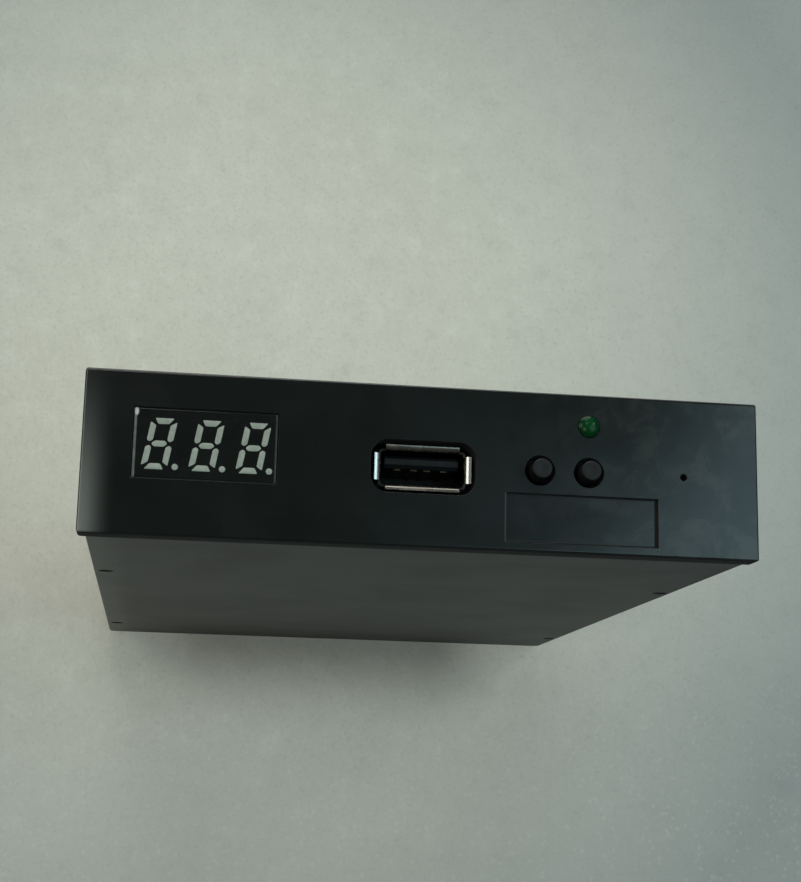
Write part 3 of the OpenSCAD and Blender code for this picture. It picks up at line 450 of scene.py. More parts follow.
def mouldedPlastic(name, look):
    material, tree, shader, place = newMaterial(name)
    grain = useGroup(tree, mouldGrain, place, {"Grain": look["grain"]})
    hands = useGroup(tree, handling, place, {"Dust Scale": look.get("dustScale", 900)})
    base = blendColours(tree, ramp(tree, grain.outputs["Tone"], 0.3, 0.7), look["dark"], look["light"])
    marks = calc(tree, "ADD", product(tree, hands.outputs["Dust"], look.get("dust", 0.1)),
                 product(tree, hands.outputs["Scratch"], look.get("scratch", 0.05)), clamp=True)
    base = blendColours(tree, marks, base, look.get("dustColour", (0.24, 0.25, 0.22)))
    rough = ramp(tree, hands.outputs["Smudge"], 0, 1, *look["rough"])
    if "dullSides" in look:
        rough = dullSides(tree, rough, look["dullSides"])
    if "paintedHazeEnd" in look:
        base = paintHazeAtEnd(tree, place, base, look)
    if "smearSpread" in look:
        base = smearFront(tree, place, base, look["smearSpread"])
    if "field" in look:
        base, rough = paintFieldShadeAndHighlight(tree, place, base, rough, look["field"])
    wire(tree, (base, shader.inputs["Base Color"]), (rough, shader.inputs["Roughness"]))
    shader.inputs["Specular IOR Level"].default_value = look.get("gloss", 0.5)
    addBump(tree, shader, grain.outputs["Height"], look["depth"], look.get("edge", 0))
    return material


def darkenShell(tree, place, base, look):  # duller above and below a band, and painted shade behind the mouth
    axes = axesOf(tree, place)
    bottom, top, amount = look["darkBand"]
    outside = largest(tree, nearEdge(tree, axes["Z"], bottom, 0, -0.3),
                      nearEdge(tree, axes["Z"], top, 0, 0.3))
    base = blendColours(tree, product(tree, outside, amount), base, look["darkBandColour"])
    # painted shade on the inside walls, behind the lips
    inside = nearEdge(tree, axes["Y"], look["mouth"], 0, 0.3, 0, 0.92)
    return blendColours(tree, inside, base, look["insideColour"])


def platedMetal(name, look):
    material, tree, shader, place = newMaterial(name)
    lines = useGroup(tree, drawnLines, place, {"Along": look["along"]})
    base = blendColours(tree, lines.outputs["Lines"], look["dark"], look["light"])
    stain = product(tree, lines.outputs["Stain"], look.get("stain", 0.25))
    base = blendColours(tree, stain, base, look.get("stainColour", (0.2, 0.17, 0.13)))
    if "darkBand" in look:
        base = darkenShell(tree, place, base, look)
    rough = ramp(tree, lines.outputs["Stain"], 0, 1, *look["rough"])
    wire(tree, (base, shader.inputs["Base Color"]), (rough, shader.inputs["Roughness"]))
    shader.inputs["Metallic"].default_value = 1
    addBump(tree, shader, lines.outputs["Lines"], look["depth"], look.get("edge", 0))
    return material


labelField = {"left": 11.8 * mm, "right": 35.1 * mm, "bottom": 1.35 * mm, "top": 8.85 * mm,
              "floor": -71.35 * mm,
              "bands": [("Z", "top", (-0.34, -0.16)), ("X", "right", (-0.55, -0.35)),
                        ("Z", "bottom", (0.45, 0.26))],
              "paintedShade": 0.7, "paintedShadeRough": 0.85, "paintedShadeColour": (0.001, 0.0016, 0.0016), "paintedHighlight": 0.1}
panelLook = {"dark": (0.0042, 0.0064, 0.0058), "light": (0.0060, 0.0088, 0.0080), "rough": (0.16, 0.22),
             "grain": 5200, "depth": 0.004 * mm, "dust": 0.015, "dustScale": 1600, "scratch": 0.02,
             "edge": 0.07 * mm, "dullSides": 0.9, "smearSpread": (5 * mm, 48 * mm, 0, 0.06), "field": labelField,
             "paintedHazeEnd": (-44.8 * mm, -50.8 * mm), "paintedHazeFace": "Y", "paintedHazeAmount": 0.5}
caseLook = {"dark": (0.0125, 0.0150, 0.0112), "light": (0.0165, 0.0195, 0.0150), "rough": (0.50, 0.54),
            "grain": 3800, "depth": 0.02 * mm, "dust": 0.04, "dustScale": 1500, "scratch": 0.03,
            "edge": 0.15 * mm, "paintedHazeEnd": (-41 * mm, -49.6 * mm), "paintedHazeFace": "Z", "paintedHazeAmount": 0.42}
buttonLook = {"dark": (0.0062, 0.0074, 0.0074), "light": (0.0095, 0.011, 0.0108), "rough": (0.42, 0.54),
              "grain": 6000, "depth": 0.01 * mm, "dust": 0.05, "scratch": 0.04, "gloss": 0.27}
blackLook = {"dark": (0.011, 0.012, 0.013), "light": (0.018, 0.019, 0.021), "rough": (0.36, 0.5),
             "grain": 6500, "depth": 0.008 * mm, "dust": 0.06, "scratch": 0.03, "edge": 0.06 * mm}
chipLook = {"dark": (0.013, 0.013, 0.014), "light": (0.024, 0.024, 0.025), "rough": (0.5, 0.65),
            "grain": 9000, "depth": 0.01 * mm, "dust": 0.05}
tongueLook = {"dark": (0.0045, 0.0055, 0.0065), "light": (0.007, 0.0085, 0.0105), "rough": (0.36, 0.48),
              "grain": 7000, "depth": 0.006 * mm, "dust": 0.03, "gloss": 0.2}
ivoryLook = {"dark": (0.66, 0.63, 0.53), "light": (0.76, 0.73, 0.63), "rough": (0.4, 0.52), "grain": 5000,
             "depth": 0.01 * mm, "dust": 0.05, "dustColour": (0.35, 0.32, 0.26), "edge": 0.08 * mm}
jumperLook = {"dark": (0.020, 0.020, 0.024), "light": (0.03, 0.03, 0.036), "rough": (0.34, 0.46),
              "grain": 7000, "depth": 0.008 * mm, "edge": 0.05 * mm}
ceramicLook = {"dark": (0.29, 0.21, 0.12), "light": (0.38, 0.28, 0.17), "rough": (0.5, 0.6), "grain": 9000,
               "depth": 0.006 * mm}
shellLook = {"dark": (0.62, 0.62, 0.59), "light": (0.74, 0.74, 0.71), "rough": (0.24, 0.36),
             "along": (7000, 300, 7000), "depth": 0.0006 * mm, "stain": 0.06, "edge": 0.05 * mm,
             "darkBand": (9.5 * mm, 14.5 * mm, 0.7), "darkBandColour": (0.13, 0.105, 0.07),
             "mouth": -70.6 * mm, "insideColour": (0.02, 0.02, 0.018)}
screwLook = {"dark": (0.13, 0.13, 0.135), "light": (0.23, 0.23, 0.235), "rough": (0.3, 0.5),
             "along": (2500, 2500, 2500), "depth": 0.004 * mm, "stain": 0.3,
             "stainColour": (0.06, 0.05, 0.04)}
tinLook = {"dark": (0.55, 0.55, 0.55), "light": (0.68, 0.68, 0.67), "rough": (0.26, 0.42),
           "along": (9000, 700, 900), "depth": 0.002 * mm, "stain": 0.25}
goldLook = {"dark": (0.60, 0.44, 0.18), "light": (0.74, 0.57, 0.27), "rough": (0.24, 0.38),
            "along": (9000, 500, 9000), "depth": 0.0015 * mm, "stain": 0.2, "stainColour": (0.35, 0.2, 0.06)}
# gold painted darker as shade, for the contacts deep inside the socket
shadedGoldLook = {"dark": (0.075, 0.06, 0.035), "light": (0.11, 0.09, 0.055), "rough": (0.4, 0.5),
               "along": (9000, 500, 9000), "depth": 0.001 * mm, "stain": 0.3,
               "stainColour": (0.06, 0.04, 0.02)}
springLook = {"dark": (0.5, 0.5, 0.48), "light": (0.64, 0.64, 0.61), "rough": (0.28, 0.4),
              "along": (300, 7000, 7000), "depth": 0.002 * mm}
frameLook = {"dark": (0.016, 0.016, 0.017), "light": (0.028, 0.028, 0.029), "rough": (0.45, 0.6),
             "along": (300, 7000, 7000), "depth": 0.002 * mm}
canLook = {"dark": (0.62, 0.62, 0.64), "light": (0.75, 0.75, 0.77), "rough": (0.18, 0.32),
           "along": (6000, 6000, 300), "depth": 0.002 * mm}

panelPlastic = mouldedPlastic("panelPlastic", panelLook)
casePlastic = mouldedPlastic("casePlastic", caseLook)
buttonPlastic = mouldedPlastic("buttonPlastic", buttonLook)
mouldedBlack = mouldedPlastic("mouldedBlack", blackLook)
chipEpoxy = mouldedPlastic("chipEpoxy", chipLook)
tonguePlastic = mouldedPlastic("tonguePlastic", tongueLook)
headerIvory = mouldedPlastic("headerIvory", ivoryLook)
jumperPlastic = mouldedPlastic("jumperPlastic", jumperLook)
ceramicTan = mouldedPlastic("ceramicTan", ceramicLook)
socketNickel = platedMetal("socketNickel", shellLook)
screwSteel = platedMetal("screwSteel", screwLook)
tinnedLead = platedMetal("tinnedLead", tinLook)
goldContact = platedMetal("goldContact", goldLook)
shadedGold = platedMetal("shadedGold", shadedGoldLook)
springSteel = platedMetal("springSteel", springLook)
blackenedSteel = platedMetal("blackenedSteel", frameLook)
canMetal = platedMetal("canMetal", canLook)


def displayFace(look):  # black print on a paler block, bare along both ends with the left end painted lighter than the right, and a painted glint at one corner
    material, tree, shader, place = newMaterial("displayFace")
    grain = useGroup(tree, mouldGrain, place, {"Grain": 6000, "Drift": 900})
    hands = useGroup(tree, handling, place, {"Smudge Scale": 120, "Dust Scale": 1500})
    axes = axesOf(tree, place)
    low, high, stretch = look["low"], look["high"], look["glintStretch"]
    ends = largest(tree, nearEdge(tree, axes["X"], low.x, *look["leftEnd"]),
                   nearEdge(tree, axes["X"], high.x, *look["rightEnd"]))
    ends = product(tree, ends, ramp(tree, grain.outputs["Tone"], 0.25, 0.6, 0.45, 1))
    behind = nearEdge(tree, axes["Y"], low.y, 0.03, 0.12)
    bareAndPaintedLight = largest(tree, ends, product(tree, behind, 0.5))
    slim = addNode(tree, "ShaderNodeVectorMath", operation="MULTIPLY")
    slim.inputs[1].default_value = stretch
    wire(tree, (place, slim.inputs[0]))
    # a painted glint near the upper-left corner
    corner = (low.x + look["glintIn"], low.y, high.z - look["glintDown"])
    glintMiddle = [part * by for part, by in zip(corner, stretch)]
    glintMask = ramp(tree, distanceTo(tree, slim.outputs["Vector"], glintMiddle), *look["glintReach"])
    printed = blendColours(tree, ramp(tree, grain.outputs["Tone"], 0.3, 0.7), look["dark"], look["light"])
    dusty = product(tree, hands.outputs["Dust"], look["dust"])
    printed = blendColours(tree, dusty, printed, look["dustColour"])
    base = blendColours(tree, bareAndPaintedLight, printed, look["block"])
    base = blendColours(tree, glintMask, base, look["paintedGlint"])
    wire(tree, (base, shader.inputs["Base Color"]),
         (ramp(tree, hands.outputs["Smudge"], 0, 1, *look["rough"]), shader.inputs["Roughness"]))
    addBump(tree, shader, grain.outputs["Height"], look["depth"])
    return material


def milkyBars(look):  # cast resin, a little cloudy
    material, tree, shader, place = newMaterial("milkyBars")
    grain = useGroup(tree, mouldGrain, place, {"Grain": 7000, "Drift": 700})
    cloud = noiseAt(tree, place, Scale=1100, Detail=3)
    base = blendColours(tree, ramp(tree, cloud, 0.3, 0.7), look["dark"], look["light"])
    wire(tree, (base, shader.inputs["Base Color"]),
         (ramp(tree, grain.outputs["Tone"], 0.3, 0.7, *look["rough"]), shader.inputs["Roughness"]))
    shader.inputs["Subsurface Weight"].default_value = look["glowThrough"]
    shader.inputs["Subsurface Radius"].default_value = [look["glowReach"]] * 3
    addBump(tree, shader, grain.outputs["Height"], look["depth"])
    return material


def lampGreenResin(look):  # tinted resin, paler about its core
    material, tree, shader, place = newMaterial("lampGreen")
    cloud = noiseAt(tree, place, Scale=900, Detail=4)
    depth = ramp(tree, distanceTo(tree, place, look["core"]), *look["coreReach"])
    base = blendColours(tree, depth, look["coreColour"], look["rimColour"])
    base = blendColours(tree, ramp(tree, cloud, 0.45, 0.75, 0, 0.35), base, look["cloud"])
    wire(tree, (base, shader.inputs["Base Color"]),
         (ramp(tree, cloud, 0.3, 0.7, *look["rough"]), shader.inputs["Roughness"]))
    shader.inputs["Specular IOR Level"].default_value = look["gloss"]
    return material


def boardLaminate(look):  # green mask over copper runs, fibre at the cut edges
    material, tree, shader, place = newMaterial("boardLaminate")
    grain = useGroup(tree, mouldGrain, place, {"Grain": 5000, "Drift": 120})
    grid = addNode(tree, "ShaderNodeMapping", {"Scale": (394, 394, 0)})
    cells = addNode(tree, "ShaderNodeTexVoronoi", {"Scale": 1, "Randomness": 0.85},
                    distance="MANHATTAN", feature="DISTANCE_TO_EDGE")
    wire(tree, (place, grid.inputs["Vector"]), (grid.outputs["Vector"], cells.inputs["Vector"]))
    runs = ramp(tree, cells.outputs["Distance"], 0.05, 0.11, 1, 0)
    height = axesOf(tree, place)["Z"]
    inside = product(tree, nearEdge(tree, height, look["bottom"], 0, 0.05),
                     nearEdge(tree, height, look["top"], -0.05, 0, 1, 0))
    base = blendColours(tree, ramp(tree, grain.outputs["Tone"], 0.3, 0.7), look["dark"], look["light"])
    base = blendColours(tree, runs, base, look["run"])
    base = blendColours(tree, inside, base, look["fibre"])
    wire(tree, (base, shader.inputs["Base Color"]),
         (ramp(tree, grain.outputs["Tone"], 0.3, 0.7, *look["rough"]), shader.inputs["Roughness"]))
    addBump(tree, shader, runs, look["depth"])
    return material


faceLow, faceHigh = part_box("display_block")
lampLow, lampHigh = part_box("lamp_lens")
boardLow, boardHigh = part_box("main_board")
displayLook = {"dark": (0.0036, 0.0054, 0.0048), "light": (0.0054, 0.0078, 0.0070), "rough": (0.15, 0.2),
               "depth": 0.004 * mm, "dust": 0.03, "dustColour": (0.2, 0.21, 0.19),
               "block": (0.17, 0.185, 0.175), "leftEnd": (0.5, 0.36), "rightEnd": (-0.42, -0.3, 0, 0.28),
               "paintedGlint": (0.62, 0.64, 0.62), "glintIn": 0.35 * mm, "glintDown": 0.6 * mm,
               "glintReach": (0.62 * mm, 0.3 * mm), "glintStretch": (1.5, 1, 0.8),
               "low": faceLow, "high": faceHigh}
barLook = {"dark": (0.30, 0.335, 0.282), "light": (0.375, 0.415, 0.355), "rough": (0.35, 0.5),
           "depth": 0.004 * mm, "glowThrough": 0.15, "glowReach": 0.4 * mm}
lampCore = ((lampLow.x + lampHigh.x) / 2, lampLow.y + 1.2 * mm, (lampLow.z + lampHigh.z) / 2)
lampLook = {"core": lampCore, "coreReach": (0.5 * mm, 1.7 * mm), "coreColour": (0.004, 0.080, 0.018),
            "rimColour": (0.002, 0.030, 0.008), "cloud": (0.006, 0.085, 0.024), "rough": (0.11, 0.16),
            "gloss": 0.13}
boardLook = {"dark": (0.012, 0.085, 0.035), "light": (0.02, 0.12, 0.05), "run": (0.03, 0.17, 0.06),
             "fibre": (0.30, 0.28, 0.15), "rough": (0.25, 0.4), "depth": 0.02 * mm,
             "bottom": boardLow.z, "top": boardHigh.z}
displayPrint = displayFace(displayLook)
milkyResin = milkyBars(barLook)
lampGreen = lampGreenResin(lampLook)
laminate = boardLaminate(boardLook)
print("finishes built:", len(bpy.data.materials))

# every CAD node gets its finish
finishOf = {
    panelPlastic: ["front_panel"],
    casePlastic: ["bottom_case", "top_cover"],
    screwSteel: ["cover_screws", "board_screws"],
    laminate: ["main_board"],
    displayPrint: ["display_block"],
    milkyResin: ["display_bars"],
    tinnedLead: ["display_pins", "lamp_leads", "switch_leads", "controller_leads", "driver_leads",
                 "crystal_leads", "regulator_leads", "power_pins"],
    socketNickel: ["usb_shell"],
    tonguePlastic: ["usb_tongue"],
    shadedGold: ["usb_contacts"],
    goldContact: ["data_pins", "jumper_pins", "jumper_clip"],
    lampGreen: ["lamp_lens"],
    buttonPlastic: ["button_left", "button_right"],
    chipEpoxy: ["controller_chip", "driver_chip", "regulator", "chip_resistors"],
    mouldedBlack: ["switch_block_left", "switch_block_right", "capacitor_base", "data_header",
                   "jumper_header"],
    blackenedSteel: ["switch_frame_left", "switch_frame_right"],
    springSteel: ["switch_dome_left", "switch_dome_right"],
    canMetal: ["crystal_can", "capacitor_can"],
    ceramicTan: ["chip_capacitors"],
    headerIvory: ["power_header"],
    jumperPlastic: ["jumper_cap"],
}
for material, nodeNames in finishOf.items():
    for nodeName in nodeNames:
        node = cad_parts[nodeName]
        node.data.materials.clear()
        node.data.materials.append(material)
print("CAD nodes dressed")


# display bars: each is cut out of a block along its outline, seen from the front
barShape = {"height": 7.65, "width": 3.85, "thick": 0.9, "gap": 0.2, "lean": 10, "pitch": 6.84, "shift": 0.15,
            "drop": 0.1, "depth": 0.3, "proud": 0.03, "point": 0.95, "corner": 0.22, "faceEdge": 0.05,
            "pointEdge": 0.06}


def leant(x, z):
    return x + z * math.tan(math.radians(barShape["lean"])), z


def cutBar(name, outline):  # outline runs clockwise, in mm about the digit's middle
    points = [leant(x, z) for x, z in outline]
    xs, zs = zip(*points)
    front, back = -barShape["proud"] * mm, barShape["depth"] * mm
    bar = addBlock(name, (min(xs) * mm, front, min(zs) * mm), (max(xs) * mm, back, max(zs) * mm))
    for (x0, z0), (x1, z1) in zip(points, points[1:] + points[:1]):
        if z0 != z1:
            sliceOff(bar, (x0 * mm, 0, z0 * mm), (z0 - z1, 0, x1 - x0))
    roundEdges(bar, alongY, barShape["corner"] * mm)
    roundEdges(bar, lambda a, b: near(a.y, front) and near(b.y, front), barShape["faceEdge"] * mm, 2)
    return bar


def cutDigit():
    half, top = barShape["width"] / 2, barShape["height"] / 2
    thick, gap, inner = barShape["thick"], barShape["gap"], half - barShape["thick"]
    tip = thick / 2
    outer, middle = half - gap - 0.35 * thick, half - gap - 0.6 * thick
    short = outer - 0.7 * thick
    topBar = cutBar("topBar", [(-outer, top), (outer, top), (short, top - thick), (-short, top - thick)])
    midBar = cutBar("midBar", [(-middle, 0), (tip - middle, tip), (middle - tip, tip), (middle, 0),
                               (middle - tip, -tip), (tip - middle, -tip)])
    upright = [(half, top - 0.6 * thick), (half, 0.6 * thick), ((half + inner) / 2, 0.25 * thick),
               (inner, 0.6 * thick), (inner, top - thick - gap)]
    rightBar = cutBar("rightBar", upright)
    leftBar = cutBar("leftBar", [(-x, z) for x, z in reversed(upright)])
    lower = [copyPiece(bar, turn=(0, math.pi, 0)) for bar in (topBar, rightBar, leftBar)]
    depth, proud, radius = barShape["depth"], barShape["proud"], barShape["point"] / 2
    place = Vector((half + radius, (depth - proud) / 2, radius - top)) * mm
    point = addRod("point", place, radius * mm, (depth + proud) * mm, sides=32)
    roundEdges(point, lambda a, b: near(a.y, b.y) and a.y < 0, barShape["pointEdge"] * mm, 2)
    return joinPieces([topBar, midBar, rightBar, leftBar] + lower + [point], "digit")


def makeBars():
    digit = cutDigit()
    centre = (faceLow + faceHigh) / 2
    placed = []
    for i in (-1, 0, 1):
        x = centre.x + (barShape["shift"] + i * barShape["pitch"]) * mm
        placed.append(copyPiece(digit, (x, faceLow.y, centre.z - barShape["drop"] * mm)))
    bars = joinPieces(placed, "displayBars")
    bpy.data.objects.remove(digit)
    handOver(bars, "drive", "display_bars", milkyResin, "display_bars")


makeBars()
print("display bars cut")

# button plungers: a shaft with a dished tip, and the collar behind the panel
plungerShape = {"shaft": 3.05, "tipRound": 0.28, "dishInset": 0.45, "dishSlope": 0.35, "dish": 0.09,
                "collar": 4.25, "collarLong": 0.8}


def makePlunger(name, body, node):
    low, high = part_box(node)
    centre = (low + high) / 2
    collarLong = plungerShape["collarLong"] * mm
    collarStart = high.y - collarLong
    piece = addRod(name, (centre.x, (low.y + collarStart) / 2, centre.z), plungerShape["shaft"] / 2 * mm,
                   collarStart - low.y, sides=64)
    roundEdges(piece, lambda a, b: near(a.y, low.y) and near(b.y, low.y), plungerShape["tipRound"] * mm, 4)
    workOn(piece)
    editMode(True)
    pickFaces(piece, lambda c, n: n.y < -square)
    bpy.ops.mesh.inset(thickness=plungerShape["dishInset"] * mm)
    bpy.ops.mesh.inset(thickness=plungerShape["dishSlope"] * mm, depth=-plungerShape["dish"] * mm)
    pickFaces(piece, lambda c, n: n.y > square)
    growCollar(centre, collarStart, plungerShape["collar"] / plungerShape["shaft"], collarLong)
    handOver(piece, body, "button_plastic", buttonPlastic, node)


makePlunger("plungerLeft", "left_button", "button_left")
makePlunger("plungerRight", "right_button", "button_right")
print("plungers turned")

# lamp: a low dome cut from a ball, its rim drawn back to a shaft, and a flange behind the panel
lampShape = {"across": 3.3, "rise": 0.66, "flange": 4.1, "flangeLong": 1.0}


def makeLamp():
    centre = (lampLow + lampHigh) / 2
    radius, rise = lampShape["across"] / 2 * mm, lampShape["rise"] * mm
    ball = (radius ** 2 + rise ** 2) / (2 * rise)
    flangeLong = lampShape["flangeLong"] * mm
    rimY, flangeStart = lampLow.y + rise, lampHigh.y - flangeLong
    clearSelection()
    bpy.ops.mesh.primitive_uv_sphere_add(
        segments=64, ring_count=64, radius=ball, rotation=(math.pi / 2, 0, 0),
        location=(centre.x, lampLow.y + ball, centre.z))
    piece = bpy.context.object
    piece.name = "lampLens"
    settle(piece)
    sliceOff(piece, (0, rimY, 0), (0, 1, 0))
    workOn(piece)
    editMode(True)
    pickFaces(piece, lambda c, n: n.y > square)
    extrudeBy(0, flangeStart - rimY, 0)
    growCollar(centre, flangeStart, lampShape["flange"] / lampShape["across"], flangeLong)
    handOver(piece, "drive", "lamp_green", lampGreen, "lamp_lens")


makeLamp()
print("lamp domed")

# cover screws: round heads with a cross recess that narrows downwards
screwShape = {"head": 4.8, "headHigh": 1.2, "round": 0.55, "shank": 2.4, "slot": 0.8, "slotLong": 2.9,
              "deep": 0.75, "past": 0.3, "narrow": 0.62}


def makeScrews():
    low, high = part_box("cover_screws")
    headEdge = screwShape["head"] / 2 * mm
    headBase = high.z - screwShape["headHigh"] * mm
    centre = Vector((low.x + headEdge, low.y + headEdge, 0))
    screw = addRod("coverScrews", (centre.x, centre.y, (headBase + high.z) / 2), headEdge,
                   screwShape["headHigh"] * mm, turn=(0, 0, 0))
    roundEdges(screw, lambda a, b: near(a.z, high.z) and near(b.z, high.z), screwShape["round"] * mm, 5)
    workOn(screw)
    editMode(True)
    pickFaces(screw, lambda c, n: n.z < -square)
    bpy.ops.mesh.inset(thickness=(screwShape["head"] - screwShape["shank"]) / 2 * mm)
    extrudeBy(0, 0, low.z - headBase)
    editMode(False)
    slotBase, slotTop = high.z - screwShape["deep"] * mm, high.z + screwShape["past"] * mm
    across, along = screwShape["slot"] / 2 * mm, screwShape["slotLong"] / 2 * mm
    for x, y in ((along, across), (across, along)):
        slot = addBlock("slot", (centre.x - x, centre.y - y, slotBase), (centre.x + x, centre.y + y, slotTop))
        workOn(slot)
        editMode(True)
        pickFaces(slot, lambda c, n: n.z < -square)
        bpy.ops.transform.resize(value=(screwShape["narrow"], screwShape["narrow"], 1),
                                 center_override=(centre.x, centre.y, 0))
        editMode(False)
        cutAway(screw, slot)
    right, rear = high.x - headEdge - centre.x, high.y - headEdge - centre.y
    copies = [copyPiece(screw, shift) for shift in ((right, 0, 0), (0, rear, 0), (right, rear, 0))]
    screws = joinPieces([screw] + copies, "coverScrews")
    handOver(screws, "drive", "screw_steel", screwSteel, "cover_screws")


makeScrews()
print("screws cut")

# pin headers: cells with cut corners, and square pins with tapered tips and a leg down into the board
headerShape = {"pitch": 2.54, "powerPitch": 2.5, "corner": 0.42, "pin": 0.64, "taper": 0.55, "tip": 0.45,
               "bend": 0.2, "dataColumns": 17, "jumperColumns": 5, "powerColumns": 4}
rowStep = headerShape["pitch"] * mm


def makeHeader(name, node, columns):
    low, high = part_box(node)
    cell = addBlock(name, low, (low.x + rowStep, high.y, high.z))
    roundEdges(cell, alongY, headerShape["corner"] * mm, 1)
    repeatAlongX(cell, columns, rowStep)
    handOver(cell, "drive", "moulded_black", mouldedBlack, node)


def makePin(name, x, z, legY, tipY, foot):
    side, taper, shrink = headerShape["pin"] / 2 * mm, headerShape["taper"] * mm, headerShape["tip"]
    pin = addBlock(name, (x - side, legY - side, z - side), (x + side, tipY - taper, z + side))
    workOn(pin)
    editMode(True)
    pickAll()
    bpy.ops.mesh.bisect(plane_co=(0, legY + side, 0), plane_no=(0, 1, 0), threshold=cutSlack)
    pickFaces(pin, lambda c, n: n.z < -square and c.y < legY + side)
    extrudeBy(0, 0, foot - (z - side))
    pickFaces(pin, lambda c, n: n.y > square and c.y > tipY - 2 * taper)
    extrudeBy(0, taper, 0)
    bpy.ops.transform.resize(value=(shrink, 1, shrink), center_override=(x, tipY, z))
    editMode(False)
    roundEdges(pin, lambda a, b: near(a.x, b.x) and a.z > z and b.z > z and near(a.y, legY - side),
               headerShape["bend"] * mm)
    return pin


def makePins(name, node, columns, step, rows, slotName, material):
    low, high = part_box(node)
    side = headerShape["pin"] / 2 * mm
    made = []
    for row in range(rows):
        shift = (rows - 1 - row) * rowStep
        pin = makePin(name, low.x + side, high.z - side - shift, low.y + side + shift, high.y, low.z)
        repeatAlongX(pin, columns, step)
        made.append(pin)
    handOver(joinPieces(made, name), "drive", slotName, material, node, angle=12)


makeHeader("dataHeader", "data_header", headerShape["dataColumns"])
makeHeader("jumperHeader", "jumper_header", headerShape["jumperColumns"])
makePins("dataPins", "data_pins", headerShape["dataColumns"], rowStep, 2, "gold_contact", goldContact)
makePins("jumperPins", "jumper_pins", headerShape["jumperColumns"], rowStep, 2, "gold_contact", goldContact)
makePins("powerPins", "power_pins", headerShape["powerColumns"], headerShape["powerPitch"] * mm, 1,
         "tinned_lead", tinnedLead)
print("headers and pins set")

# jumper cap: rounded all over, hollow from the front, with a sunk window in its end
capShape = {"round": 0.22, "wall": 0.45, "slotLong": 6.3, "windowInset": 0.6, "window": 0.35, "past": 0.5}


def makeCap():
    low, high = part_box("jumper_cap")
    cap = addBlock("jumperCap", low, high)
    roundEdges(cap, lambda a, b: True, capShape["round"] * mm)
    past = capShape["past"] * mm
    slotEnds = low.y - past, low.y + capShape["slotLong"] * mm
    windowEnds = high.y - capShape["window"] * mm, high.y + past
    for inset, (start, end) in (("wall", slotEnds), ("windowInset", windowEnds)):
        edge = capShape[inset] * mm
        sunk = addBlock("sunk", (low.x + edge, start, low.z + edge), (high.x - edge, end, high.z - edge))
        cutAway(cap, sunk)
    handOver(cap, "jumper", "jumper_plastic", jumperPlastic, "jumper_cap")


makeCap()
print("jumper cap hollowed")


# stage: speckled stone behind the tail, and a floor that only shows from above

def seenFrom(tree, surface, *rays):  # see-through from behind and to the light
    clear = addNode(tree, "ShaderNodeBsdfTransparent")
    light = addNode(tree, "ShaderNodeLightPath")
    back = addNode(tree, "ShaderNodeNewGeometry").outputs["Backfacing"]
    shown = largest(tree, *[light.outputs[ray] for ray in rays])
    shown = product(tree, shown, calc(tree, "SUBTRACT", 1.0, back))
    mix = addNode(tree, "ShaderNodeMixShader")
    wire(tree, (clear.outputs[0], mix.inputs[1]), (surface, mix.inputs[2]))
    return mix, shown


def speckle(tree, place, cloud, look):  # clouded, mottled and flecked, with a painted light gradient across it and painted dimming away from a bright spot
    mottle = noiseAt(tree, place, Scale=150, Detail=4, Roughness=0.7)
    fleck = noiseAt(tree, place, Scale=1300, Detail=2, Roughness=0.7)
    across = ramp(tree, axesOf(tree, place)["X"], *look["across"])
    base = blendColours(tree, across, look["left"], look["right"])
    for texture, shown, colour in (
            (cloud, (0.3, 0.7, 0.16, 0), "darkFleck"),
            (mottle, (0.5, 0.75, 0, 0.3), "paleFleck"), (mottle, (0.5, 0.25, 0, 0.2), "darkFleck"),
            (fleck, (0.56, 0.72, 0, 0.26), "paleFleck"), (fleck, (0.44, 0.3, 0, 0.3), "darkFleck")):
        base = blendColours(tree, ramp(tree, texture, *shown), base, look[colour])
    dimmed = ramp(tree, distanceTo(tree, place, look["bright"]), *look["dim"])
    return blendColours(tree, calc(tree, "MINIMUM", dimmed, look["dimEnd"]), base, look["dimColour"])


def addSparkle(tree, place, base, look):  # single pale grains, more of them low down
    chips = addNode(tree, "ShaderNodeTexVoronoi", {"Scale": 1400, "Randomness": 1})
    spread = addNode(tree, "ShaderNodeSeparateColor")
    wire(tree, (place, chips.inputs["Vector"]), (chips.outputs["Color"], spread.inputs["Color"]))
    sparkle = product(tree, ramp(tree, spread.outputs["Green"], 0.9, 1),
                      ramp(tree, axesOf(tree, place)["Z"], *look["sparkle"]))
    return blendColours(tree, sparkle, base, look["paleFleck"])


def shadeFoot(tree, place, base, look):  # paler low down, and a painted shadow close to the tail that stands on it
    axes = axesOf(tree, place)
    paler = product(tree, ramp(tree, axes["Z"], *look["lowDown"]), ramp(tree, axes["X"], *look["lowAcross"]))
    base = blendColours(tree, paler, base, look["paleFleck"])
    reach, side, dark = look["foot"]
    upright = product(tree, ramp(tree, axes["Z"], -reach, 0), ramp(tree, axes["Z"], reach, 0))
    sideways = product(tree, ramp(tree, axes["X"], -side - reach, reach - side),
                       ramp(tree, axes["X"], side + 0.2 * reach, side - reach))
    below = product(tree, upright, sideways)
    return blendColours(tree, product(tree, below, below, dark), base, (0, 0, 0))


